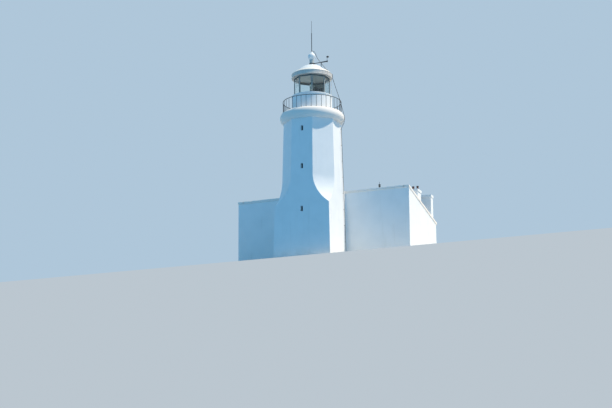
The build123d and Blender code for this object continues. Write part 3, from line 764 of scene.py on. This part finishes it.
@dataclass
class Gallery:
    """What is small on the gallery: a collar at each baluster's foot and a sleeve where two rails meet."""

    yard: Yard
    rail_radius: float = 2.45
    rail_top: float = 13.73
    rail_tube: float = 0.05
    sleeve_half: float = 0.07
    sleeve_wall: float = 0.004
    foot: float = 12.706
    bays: int = 12
    bars: int = 3
    phase: float = -69.2

    def build(self) -> None:
        """Builds the collars and the sleeves."""
        step = 360 / self.bays / self.bars
        outline = [(0.016, -0.03), (0.036, -0.03), (0.036, 0.012), (0.028, 0.02), (0.018, 0.03)]
        collar = turned(outline, (self.rail_radius, 0, self.foot), 12, closed=True)
        feet = repeated(collar, round_the_axis(self.bays * self.bars, self.phase))
        self.yard.piece("baluster_collars", feet, BLACK, Slot.DARK_METAL)
        middle = self.rail_top - self.rail_tube / 2
        start, end = ((self.rail_radius, side * self.sleeve_half, middle) for side in (-1, 1))
        sleeve = rod(start, end, self.rail_tube / 2 + self.sleeve_wall)
        edit(sleeve, lambda: bpy.ops.mesh.bevel(offset=0.003, segments=1, affect="EDGES"))
        sleeves = repeated(sleeve, round_the_axis(self.bays, self.phase + step * self.bars / 2))
        self.yard.piece("rail_sleeves", sleeves, BLACK, Slot.DARK_METAL)


@dataclass
class Lantern:
    """The lantern's glazing beads, its door and the drip bead of its eave."""

    yard: Yard
    corner_radius: float = 1.4725
    pane_half: float = 0.52
    pane: float = 0.012
    bead: float = 0.026
    bead_depth: float = 0.014
    low: float = 14.20
    high: float = 15.70
    sides: int = 8
    screws: int = 7
    first_screw: float = 0.12
    screw_pitch: float = 0.21
    eave: float = 1.71
    eave_foot: float = 15.80
    eave_bead: float = 0.035
    fillet_foot: float = 16.11
    door: str = "lantern_door"

    def build(self) -> None:
        """Builds every piece."""
        self._beads()
        self._door()
        self._eave()

    def _beads(self) -> None:
        """Four strips round each pane, outside the glass, with a line of screws in them."""
        flat = self.corner_radius * math.cos(math.pi / self.sides)
        outer = -(flat + self.pane / 2)
        inner = outer - self.bead_depth
        half, bead = self.pane_half, self.bead
        strips = []
        for low, high in ((self.low, self.low + bead), (self.high - bead, self.high)):
            strips.append(block((-half, inner, low), (half, outer, high), 0.003))
        for left, right in ((-half, bead - half), (half - bead, half)):
            strips.append(block((left, inner, self.low + bead), (right, outer, self.high - bead), 0.003))
        for number in range(self.screws):
            height = self.low + self.first_screw + number * self.screw_pitch
            for side in (-1, 1):
                x = side * (half - bead / 2)
                strips.append(rod((x, inner + 0.002, height), (x, inner - 0.003, height), 0.006, 8))
        only(*strips)
        bpy.ops.object.join()
        beads = repeated(bpy.context.object, round_the_axis(self.sides))
        self.yard.piece("glazing_beads", beads, STEEL_GREY, Slot.DARK_METAL)

    def _door(self) -> None:
        """The gallery door: a framed steel leaf with two panels, hinges and a lever."""
        (x0, near, bottom), (x1, face, top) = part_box(self.door)
        stile, hinge, pin = 0.09, 0.22, x0 + 0.012
        parts = [block((x0, near + 0.012, bottom), (x1, face - 0.012, top), 0.002)]
        for left, right in ((x0, x0 + stile), (x1 - stile, x1)):
            parts.append(block((left, near, bottom), (right, face, top), 0.004))
        for low, high in ((bottom, bottom + 0.16), (top - stile, top), (bottom + 0.62, bottom + 0.72)):
            parts.append(block((x0 + stile, near, low), (x1 - stile, face, high), 0.004))
        for height in (bottom + hinge, top - hinge):
            parts.append(rod((pin, face + 0.008, height - 0.06), (pin, face + 0.008, height + 0.06), 0.012))
            low, high = (x0 + 0.01, face, height - 0.03), (x0 + 0.16, face + 0.006, height + 0.03)
            parts.append(block(low, high, 0.002))
        lever, grip, spindle = bottom + 0.67, face + 0.035, x1 - 0.05
        parts.append(rod((spindle, (near + face) / 2, lever), (spindle, grip, lever), 0.009))
        parts.append(rod((x1 - 0.045, grip, lever), (x1 - 0.17, grip, lever), 0.008))
        self.yard.piece("gallery_door", parts, STEEL_GREY, Slot.DARK_METAL, self.door)

    def _eave(self) -> None:
        """The half-round bead at the foot of the eave and the fillet under its coving."""
        back, nose, swell = self.eave - 0.03, self.eave - 0.012, self.eave_bead
        bead = [(back, 0), (back, 2 * swell)]
        bead += [(nose + swell * math.cos(angle), swell + swell * math.sin(angle))
                 for angle in (1.2, 0.8, 0.4, 0.0, -0.4, -0.8, -1.2)]
        back, front = self.eave - 0.04, self.eave + 0.012
        fillet = [(back, 0), (front, 0), (front + 0.006, 0.02), (front, 0.04), (back, 0.055)]
        rings = [turned(outline, (0, 0, foot), 96, closed=True)
                 for outline, foot in ((bead, self.eave_foot), (fillet, self.fillet_foot))]
        self.yard.piece("eave_beads", rings, EAVE, Slot.WHITE_METAL)


@dataclass
class Optic:
    """The light: a drum lens in its metal frame on a turned stand, and the cabinet beside it."""

    yard: Yard
    floor: float = 12.73
    foot: float = 14.81
    top: float = 15.47
    radius: float = 0.19
    bore: float = 0.125
    margin: float = 0.03
    belt: float = 0.09
    prisms: int = 9
    step: float = 0.035
    cabinet_turn: float = 112.5
    cabinet_size: Point = (0.400, 0.710, 2.210)
    cabinet_middle: float = -0.57
    louvres: int = 7
    louvre_pitch: float = 0.035

    def build(self) -> None:
        """Builds the lens, its frame, the lamp, the stand and the cabinet."""
        self._lens()
        self._stand()
        self._cabinet()

    def _stack(self, start: float, pitch: float, above: bool) -> list[tuple[float, float]]:
        """The outline of a stack of prisms: each leans toward the belt, and those above it are turned over."""
        outline = []
        edges = (0.006, 0.020) if above else (0.020, 0.006)
        for number in range(self.prisms):
            share = (number + 1) / self.prisms if above else 1 - number / self.prisms
            face = self.radius - self.step * share * 0.6
            for depth, place in zip(edges, (0.15, 0.85), strict=True):
                outline.append((face - depth, start + (number + place) * pitch))
        return outline

    def _lens(self) -> None:
        """A belt in the middle, prisms above and below it, rings and bars of metal, and the lamp inside."""
        radius, foot, top, margin, belt = self.radius, self.foot, self.top, self.margin, self.belt
        low, high = foot + margin, top - margin
        middle = (low + high) / 2
        pitch = (middle - belt - low) / self.prisms
        outline = [(self.bore, low), (radius - self.step, low), *self._stack(low, pitch, above=False)]
        for depth, height in ((0.010, -belt), (0.003, -belt / 2), (0.001, 0), (0.003, belt / 2), (0.010, belt)):
            outline.append((radius - depth, middle + height))
        outline += [*self._stack(middle + belt, pitch, above=True), (radius - self.step, high), (self.bore, high)]
        lens = turned(outline, closed=True)
        self.yard.piece("drum_lens", [lens], LENS, Slot.LENS, "optic_lens", smooth=20)
        parts = [
            turned([(0, foot), (radius, foot), (radius, low - 0.006), (radius - 0.02, low), (0, low)]),
            turned([(0, high), (radius - 0.02, high), (radius, high + 0.006), (radius, top - 0.012),
                    (radius - 0.03, top), (0, top)]),
        ]
        bar = block((-0.006, radius - 0.012, low), (0.006, radius - 0.001, high), 0.002)
        parts += repeated(bar, round_the_axis(6, 30))
        self.yard.piece("lens_frame", parts, BLACK, Slot.DARK_METAL)
        lamp = turned([(0, low), (0.03, low), (0.03, middle - 0.10), (0.022, middle - 0.09),
                       (0.022, middle - 0.06), (0.045, middle - 0.01), (0.050, middle + 0.03),
                       (0.038, middle + 0.07), (0.015, middle + 0.095), (0, middle + 0.10)], steps=24)
        self.yard.piece("lamp_bulb", [lamp], STEEL_GREY, Slot.DARK_METAL)

    def _stand(self) -> None:
        """The stand: a bolted flange, a tapered foot, two collars and the table under the lens."""
        outline = [(0, 0), (0.195, 0), (0.195, 0.025), (0.165, 0.035), (0.140, 0.06), (0.115, 0.12),
                   (0.100, 0.30), (0.096, 0.62), (0.112, 0.64), (0.115, 0.66), (0.112, 0.68), (0.096, 0.70),
                   (0.094, 1.40), (0.110, 1.42), (0.114, 1.44), (0.110, 1.46), (0.096, 1.48), (0.100, 1.90),
                   (0.115, 1.98), (0.160, 2.03), (0.190, 2.04), (0.195, 2.05), (0.195, 2.072), (0.190, 2.08),
                   (0, 2.08)]
        bolt = rod((0.17, 0, self.floor + 0.02), (0.17, 0, self.floor + 0.046), 0.013, 6)
        parts = [turned(outline, (0, 0, self.floor)), *repeated(bolt, round_the_axis(8, 22.5))]
        self.yard.piece("lens_stand", parts, STEEL_GREY, Slot.DARK_METAL, "optic_pedestal")

    def _cabinet(self) -> None:
        """The cabinet: a plinth, a body, a lid, a pair of leaves on two faces, and slots for air."""
        deep, wide, tall = self.cabinet_size
        near, far = self.cabinet_middle - wide / 2, self.cabinet_middle + wide / 2
        side, base = deep / 2, self.floor
        top, turn = base + tall, self.cabinet_turn
        parts = []
        for inset, low, high, edge in ((0.02, base, base + 0.08, 0.004), (0.012, base + 0.08, top - 0.02, 0.008),
                                       (0.0, top - 0.045, top, 0.006)):
            start, end = (inset - side, near + inset, low), (side - inset, far - inset, high)
            parts.append(block(start, end, edge, turn))
        gap = 0.004
        for face in (-1, 1):
            thin, thick = sorted((face * side, face * (side - 0.014)))
            for first, last in ((near + 0.02, self.cabinet_middle - gap), (self.cabinet_middle + gap, far - 0.02)):
                parts.append(block((thin, first, base + 0.10), (thick, last, top - 0.06), 0.004, turn))
        for slot in range(self.louvres):
            height = base + 1.80 + slot * self.louvre_pitch
            start, end = (side - 0.004, near + 0.09, height), (side, near + 0.27, height + 0.016)
            parts.append(block(start, end, 0.003, turn))
        self.yard.piece("battery_cabinet", parts, BLACK, Slot.DARK_METAL, "lamp_cabinet")


@dataclass
class RoofTop:
    """Small work above the eave: seams and collars of the vent, the clamps and cup of the instrument arm."""

    yard: Yard
    ball: float = 17.8102
    ball_radius: float = 0.32
    neck_top: float = 17.5527
    finial: float = 18.09
    rod_foot: float = 18.255
    arm: float = 17.1527
    arm_azimuth: float = 84.5
    strut_clamps: tuple[float, float] = (0.87, 0.93)
    clamp_half: float = 0.012
    cup_reach: float = 1.52
    cup_radius: float = 0.11
    cup_foot: float = 17.5027

    def build(self) -> None:
        """Builds the rings, the clamps and the cup."""
        radius = self.ball_radius
        seam = [(radius - 0.02, -0.02), (radius + 0.004, -0.018), (radius + 0.008, 0), (radius + 0.004, 0.018),
                (radius - 0.02, 0.02)]
        neck = [(0.17, -0.06), (0.205, -0.055), (0.212, -0.035), (0.205, -0.015), (0.17, -0.010)]
        finial = [(0.095, 0), (0.122, 0.01), (0.128, 0.028), (0.120, 0.045), (0.09, 0.05)]
        rings = [turned(outline, (0, 0, height), closed=True)
                 for outline, height in ((seam, self.ball), (neck, self.neck_top), (finial, self.finial))]
        self.yard.piece("vent_seams", rings, ENAMEL, Slot.WHITE_METAL)
        strap = [(0.18, -0.04), (0.222, -0.04), (0.215, 0.04), (0.18, 0.04)]
        socket = [(0.028, 0), (0.050, 0), (0.050, 0.035), (0.030, 0.075), (0.028, 0.075)]
        clamps = [turned(outline, (0, 0, height), closed=True)
                  for outline, height in ((strap, self.arm), (socket, self.rod_foot))]
        clamps.append(self._band(0.20, 0.25, 0.055))
        for reach in self.strut_clamps:
            clamps.append(self._band(reach - self.clamp_half, reach + self.clamp_half, 0.041))
        sleeve = self._band(0.96, 1.41, 0.050)
        edit(sleeve, lambda: bpy.ops.mesh.bevel(offset=0.006, segments=2, affect="EDGES"))
        clamps.append(sleeve)
        self.yard.piece("arm_clamps", clamps, BLACK, Slot.DARK_METAL)
        centre = azimuth_point(self.arm_azimuth, self.cup_reach, self.cup_foot)
        rim = self.cup_radius
        hood = [(0.100, 0.040), (rim, 0.045), (rim, 0.055), (0.095, 0.085), (0.060, 0.112), (0.020, 0.125), (0, 0.126)]
        seat = [(0.0, -0.04), (0.035, -0.038), (0.060, -0.015), (0.085, 0.002), (0.060, 0.004), (0, 0.004)]
        cup = [turned(outline, centre, 24) for outline in (hood, seat)]
        self.yard.piece("cup_hood", cup, BLACK, Slot.DARK_METAL)

    def _band(self, start: float, end: float, radius: float) -> bpy.types.Object:
        """A round length on the arm's own line, between two distances from the tower's axis."""
        first, last = (azimuth_point(self.arm_azimuth, reach, self.arm) for reach in (start, end))
        return rod(first, last, radius)


@dataclass
class House:
    """What the keeper's house adds: slates, lead, coping stones, chimney work, windows and doors."""

    yard: Yard
    front: float = 1.31
    left: float = -7.45
    right: float = 7.98
    wall: float = 0.45
    top: float = 6.08
    fall: float = math.tan(math.radians(14.0))
    coping: float = 0.20
    overhang: float = 0.045
    coping_gap: float = 1.95
    roof_drop: float = 0.33
    roof_end: float = 8.43
    tower_half: float = 2.36
    pot_centres: tuple[float, ...] = (7.47, 7.85)
    pot_depth: float = 3.95
    pot_foot: float = 6.23
    window_centres: tuple[float, ...] = (-5.40, -3.00, 2.70, 5.60)
    window_half: float = 0.45
    window_sill: float = 0.95
    window_head: float = 2.25
    window_frame: float = 0.06
    knob_height: float = 1.02
    lamp: float = 5.35

    def build(self) -> None:
        """Builds every piece of the house."""
        self._copings()
        self._slates()
        self._lead()
        self._chimneys()
        self._windows()
        self._door()
        self._lamp()

    def _lean(self, item: bpy.types.Object) -> bpy.types.Object:
        """Lays a level piece into the fall of the roof by letting each point down by its depth."""
        fall = Matrix.Identity(4)
        fall[2][1] = -self.fall
        fall[2][3] = self.fall * self.front
        item.data.transform(fall)
        item.data.update()
        return item

    def _course(self, low: Sequence[float], high: Sequence[float], axis: int, count: int,
                joint: float = 0.006) -> tuple[list[bpy.types.Object], bpy.types.Object]:
        """One course of coping stones, and the mortar that shows in its joints.

        Args:
            low: The course's lowest X and Y.
            high: Its highest X and Y.
            axis: The way it runs, 0 for X and 1 for Y.
            count: How many stones it has.
            joint: The gap between two stones.

        Returns:
            The stones, and the mortar.
        """
        bed = self.top - self.coping
        step = (high[axis] - low[axis]) / count
        stones = []
        for number in range(count):
            start, end = list(low), list(high)
            start[axis] = low[axis] + number * step + (joint / 2 if number else 0)
            end[axis] = low[axis] + (number + 1) * step - (joint / 2 if number < count - 1 else 0)
            stones.append(self._lean(block((*start, bed), (*end, self.top), 0.012)))
        inset = [0.012, 0.012]
        inset[axis] = 0.01
        start = (low[0] + inset[0], low[1] + inset[1], bed + 0.004)
        end = (high[0] - inset[0], high[1] - inset[1], self.top - 0.012)
        return stones, self._lean(block(start, end, 0))

    def _copings(self) -> None:
        """Separate coping stones with mortar between them, over the front wall and both side walls."""
        outer = self.front - self.overhang
        inner = self.front + self.wall + self.overhang
        verge = self.wall - self.overhang + 0.005
        courses = [
            self._course((self.left + verge, outer), (-self.coping_gap, inner), 0, 6),
            self._course((self.coping_gap, outer), (self.right - verge, inner), 0, 7),
        ]
        for side, edge in ((-1, self.left), (1, self.right)):
            x0, x1 = sorted((edge + side * self.overhang, edge - side * (self.wall + self.overhang)))
            courses.append(self._course((x0, outer), (x1, self.roof_end), 1, 8))
        stones = [stone for course, _ in courses for stone in course]
        mortar = [bed for _, bed in courses]
        # The stones take the warm-tinted wash: painted bounce light in their shade.
        self.yard.piece("coping_stones", stones, BOUNCE_TINTED_WASH, Slot.MASONRY, "front_copings", "verge_copings")
        self.yard.piece("coping_mortar", mortar, CONCRETE, Slot.CONCRETE)

    def _slates(self) -> None:
        """Rows of slates, each row half a slate along from the one below; none inside the tower."""
        wide, gauge, thick, kick, lap = SLATE.wide, SLATE.gauge, 0.008, 0.022, 2.1
        x0, x1 = self.left + self.wall, self.right - self.wall
        count = math.ceil((x1 - x0) / wide)
        rows = math.ceil((self.roof_end - self.front - self.wall) / gauge)
        head = self.roof_end - gauge * lap
        bed = self.top - self.roof_drop + 0.004
        lift = Matrix.Identity(4)
        lift[2][1] = kick
        lift[2][3] = -kick * head
        fields = []
        for parity in (0, 1):
            slate = block((x0, head, bed), (x0 + wide - 0.005, self.roof_end - 0.002, bed + thick), 0.002)
            slate.data.transform(lift)
            slate.data.transform(Matrix.Translation((-parity * wide / 2, -parity * gauge, 0)))
            only(slate)
            self._array(slate, count + parity, (wide, 0, 0))
            self._array(slate, math.ceil((rows - parity) / 2), (0, -2 * gauge, 0))
            fields.append(slate)
        only(*fields)
        bpy.ops.object.join()
        roof = bpy.context.object
        self._trim(roof, x0 + 0.002, x1 - 0.002, self.front + self.wall + 0.004)
        self._lean(roof)
        self.yard.piece("roof_slates", [roof], SLATE, Slot.CONCRETE)

    @staticmethod
    def _array(item: bpy.types.Object, count: int, step: Point) -> None:
        """Repeats the active mesh along a straight line."""
        array = item.modifiers.new("rows", "ARRAY")
        array.count = count
        array.use_relative_offset = False
        array.use_constant_offset = True
        array.constant_offset_displace = step
        bpy.ops.object.modifier_apply(modifier=array.name)

    def _trim(self, roof: bpy.types.Object, x0: float, x1: float, y0: float) -> None:
        """Cuts the slates off at the parapets, and takes away those that lie inside the tower."""
        planes = [((x0, 0, 0), (-1, 0, 0)), ((x1, 0, 0), (1, 0, 0)), ((0, y0, 0), (0, -1, 0))]
        for place, away in planes:
            edit(roof, lambda place=place, away=away: bpy.ops.mesh.bisect(
                plane_co=place, plane_no=away, use_fill=True, clear_outer=True))
        edit(roof, lambda: bpy.ops.mesh.select_mode(type="VERT"), lambda: bpy.ops.mesh.select_all(action="DESELECT"))
        inside = self.tower_half - 0.35
        for vertex in roof.data.vertices:
            vertex.select = abs(vertex.co.x) < inside and vertex.co.y < inside
        bpy.ops.object.mode_set(mode="EDIT")
        bpy.ops.mesh.select_linked()
        bpy.ops.mesh.delete(type="VERT")
        bpy.ops.object.mode_set(mode="OBJECT")

    def _lead(self) -> None:
        """Lead let into the walls where the roof meets them, upright on the wall and flat on the slates."""
        surface = self.top - self.roof_drop
        up = surface + 0.12
        x0, x1 = self.left + self.wall, self.right - self.wall
        y0, half = self.front + self.wall, self.tower_half
        parts = []
        for first, last in ((x0, -1.9), (1.9, x1)):
            parts.append(block((first, y0 - 0.004, surface), (last, y0 + 0.010, up), 0.003))
            parts.append(block((first, y0, surface + 0.016), (last, y0 + 0.15, surface + 0.022), 0.002))
        for x, side in ((x0, 1), (x1, -1)):
            first, last = sorted((x - side * 0.004, x + side * 0.010))
            parts.append(block((first, y0, surface), (last, self.roof_end - 0.13, up), 0.003))
            first, last = sorted((x, x + side * 0.13))
            start, end = (first, y0, surface + 0.020), (last, self.roof_end - 0.005, surface + 0.026)
            parts.append(block(start, end, 0.002))
        for side in (-1, 1):
            first, last = sorted((side * (half - 0.03), side * (half + 0.012)))
            parts.append(block((first, y0, surface - 0.02), (last, half * 0.62, surface + 0.13), 0.003))
        for part in parts:
            self._lean(part)
        self.yard.piece("lead_flashings", parts, LEAD, Slot.CONCRETE)

    def _chimneys(self) -> None:
        """The pots with rolled rims, mortar round them and on the rear stack, and a band under each cap."""
        pot = [(0.072, 0.0), (0.100, 0.0), (0.100, 0.03), (0.094, 0.05), (0.088, 0.20), (0.087, 0.26),
               (0.094, 0.270), (0.100, 0.285), (0.100, 0.318), (0.094, 0.330), (0.078, 0.330), (0.072, 0.322)]
        pots = [turned(pot, (x, self.pot_depth, self.pot_foot), 32, closed=True) for x in self.pot_centres]
        self.yard.piece("clay_pots", pots, CLAY, Slot.TERRACOTTA, "chimney_pots")
        bed = [(0.098, 0.0), (0.165, 0.0), (0.150, 0.02), (0.118, 0.055), (0.098, 0.060)]
        mortar = [turned(bed, (x, self.pot_depth, self.pot_foot - 0.002), 24, closed=True) for x in self.pot_centres]
        mortar.append(block((7.15, 7.10, 6.498), (7.85, 7.56, 6.52), 0.008))
        self.yard.piece("chimney_mortar", mortar, CONCRETE, Slot.CONCRETE)
        bands = [
            block((7.335, 3.485, 5.965), (7.988, 4.415, 6.035), 0.012),
            block((7.012, 7.035, 6.225), (7.988, 7.625, 6.305), 0.012),
        ]
        self.yard.piece("chimney_bands", bands, WHITE, Slot.MASONRY)

    def _windows(self) -> None:
        """Four timber casement windows in the back, each with a stone sill."""
        frames = []
        near, far, frame, half_bar = 8.09, 8.18, self.window_frame, 0.025
        low, high = self.window_sill, self.window_head
        transom = high - 0.42
        for centre in self.window_centres:
            x0, x1 = centre - self.window_half, centre + self.window_half
            frames += self._bars((x0, low), (x1, high), (near, far), frame, 0.004)
            mullion = (centre - frame / 2, centre + frame / 2)
            frames.append(block((mullion[0], near, low + frame), (mullion[1], far, high - frame), 0.004))
            start, end = (x0 + frame, near, transom - half_bar), (x1 - frame, far, transom + half_bar)
            frames.append(block(start, end, 0.004))
            depth = (near + 0.02, far - 0.02)
            for first, last in ((x0 + frame, mullion[0]), (mullion[1], x1 - frame)):
                frames += self._bars((first, low + frame), (last, transom - half_bar), depth, 0.035, 0.003)
                frames += self._bars((first, transom + half_bar), (last, high - frame), depth, 0.03, 0.003)
                middle = (low + transom) / 2
                start, end = (first + 0.03, near + 0.03, middle - 0.01), (last - 0.03, far - 0.03, middle + 0.01)
                frames.append(block(start, end, 0.002))
        self.yard.piece("casement_windows", frames, WOOD, Slot.WOOD, "rear_window_frames")
        sills = [block((centre - 0.52, 8.17, low - 0.075), (centre + 0.52, 8.375, low - 0.002), 0.008)
                 for centre in self.window_centres]
        self.yard.piece("window_sills", sills, CONCRETE, Slot.CONCRETE)

    @staticmethod
    def _bars(start: tuple[float, float], end: tuple[float, float], depth: tuple[float, float], width: float,
              edge: float) -> list[bpy.types.Object]:
        """Four bars round an opening.

        Args:
            start: The opening's lowest X and Z.
            end: Its highest X and Z.
            depth: The bars' lowest and highest Y.
            width: How wide they are.
            edge: How much their edges are softened.

        Returns:
            The lower bar, the upper bar and the two uprights between them.
        """
        (x0, low), (x1, high), (near, far) = start, end, depth
        return [
            block((x0, near, low), (x1, far, low + width), edge),
            block((x0, near, high - width), (x1, far, high), edge),
            block((x0, near, low + width), (x0 + width, far, high - width), edge),
            block((x1 - width, near, low + width), (x1, far, high - width), edge),
        ]

    def _door(self) -> None:
        """The back door: a framed timber leaf with four panels, hinges, a knob and a threshold."""
        (x0, near, bottom), (x1, far, top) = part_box("rear_door")
        stile, muntin, inset, middle = 0.11, 0.05, 0.05, (x0 + x1) / 2
        inner, outer = near + 0.01, far - 0.005
        bays = ((bottom + 0.13, bottom + 0.85), (bottom + 1.0, top - stile))
        parts = [block((x0 + 0.05, near + 0.03, bottom + 0.05), (x1 - 0.05, far - 0.03, top - 0.05), 0.002)]
        parts += self._bars((x0, bottom + 0.02), (x1, top), (inner, outer), stile, 0.004)
        for down, up in bays:
            parts.append(block((middle - muntin, inner, down), (middle + muntin, outer, up), 0.004))
        parts.append(block((x0 + stile, inner, bays[0][1]), (x1 - stile, outer, bays[1][0]), 0.004))
        for first, last in ((x0 + stile, middle - muntin), (middle + muntin, x1 - stile)):
            for down, up in bays:
                start, end = (first + inset, far - 0.032, down + inset), (last - inset, far - 0.016, up - inset)
                parts.append(block(start, end, 0.012))
        parts.append(block((x0, near, bottom), (x1, far + 0.06, bottom + 0.025), 0.006))
        self.yard.piece("back_door", parts, DOOR_PAINT, Slot.WOOD, "rear_door")
        x, z = x1 - 0.075, self.knob_height
        ironwork = [rod((x, far - 0.02, z), (x, far + 0.03, z), 0.010)]
        bpy.ops.object.select_all(action="DESELECT")
        bpy.ops.mesh.primitive_uv_sphere_add(segments=20, ring_count=12, radius=0.028, location=(x, far + 0.045, z))
        knob = bpy.context.object
        knob.scale = (1, 0.75, 1)
        ironwork.append(settle(knob))
        ironwork.append(rod((x, far - 0.008, z), (x, far + 0.002, z), 0.035, 24))
        pin = (x0 + 0.008, far + 0.004)
        for height in (0.30, 1.05, 1.80):
            ironwork.append(rod((*pin, height - 0.05), (*pin, height + 0.05), 0.010))
        self.yard.piece("door_ironwork", ironwork, BLACK, Slot.DARK_METAL)

    def _lamp(self) -> None:
        """The small lamp on the coping: flange, stem, caged glass, a hood and its thin tip."""
        x, y = self.lamp, self.front + self.wall / 2
        foot = self.top - self.fall * (y - self.front)
        place = (x, y, foot)
        stem = [(0, -0.004), (0.085, -0.004), (0.085, 0.014), (0.045, 0.026), (0.030, 0.05), (0.026, 0.14),
                (0.040, 0.155), (0.075, 0.165), (0.080, 0.185), (0.080, 0.20), (0, 0.20)]
        hood = [(0, 0.340), (0.085, 0.340), (0.108, 0.352), (0.106, 0.366), (0.075, 0.392), (0.040, 0.412),
                (0.028, 0.430), (0, 0.432)]
        hoop = [(0.080, 0.262), (0.088, 0.262), (0.088, 0.274), (0.080, 0.274)]
        jar = [(0, 0.19), (0.060, 0.19), (0.068, 0.21), (0.068, 0.31), (0.055, 0.338), (0, 0.342)]
        metal = [turned(stem, place, 32), turned(hood, place, 32)]
        bar = rod((0.082, 0, 0.18), (0.082, 0, 0.36), 0.005, 8)
        for copy in repeated(bar, round_the_axis(6)):
            copy.data.transform(Matrix.Translation(place))
            metal.append(copy)
        metal.append(turned(hoop, place, 32, closed=True))
        metal.append(rod((x, y, foot + 0.42), (x, y, foot + 0.61), 0.012, 12))
        self.yard.piece("lamp_metalwork", metal, BLACK, Slot.DARK_METAL, "coping_lamp")
        self.yard.piece("lamp_jar", [turned(jar, place, 32)], SMOKED, Slot.GLASS)


def main() -> None:
    """Builds the scene in order and reports each piece."""
    logging.basicConfig(level=logging.INFO, format="%(message)s")
    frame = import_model()
    finishes = Finishes()
    Camera().build()
    Studio().build()
    dress(frame, finishes)
    yard = Yard(finishes)
    for part in (Gallery(yard), Lantern(yard), Optic(yard), RoofTop(yard), House(yard)):
        part.build()
    bpy.context.scene.view_settings.view_transform = "Standard"


if __name__ == "__main__":
    main()
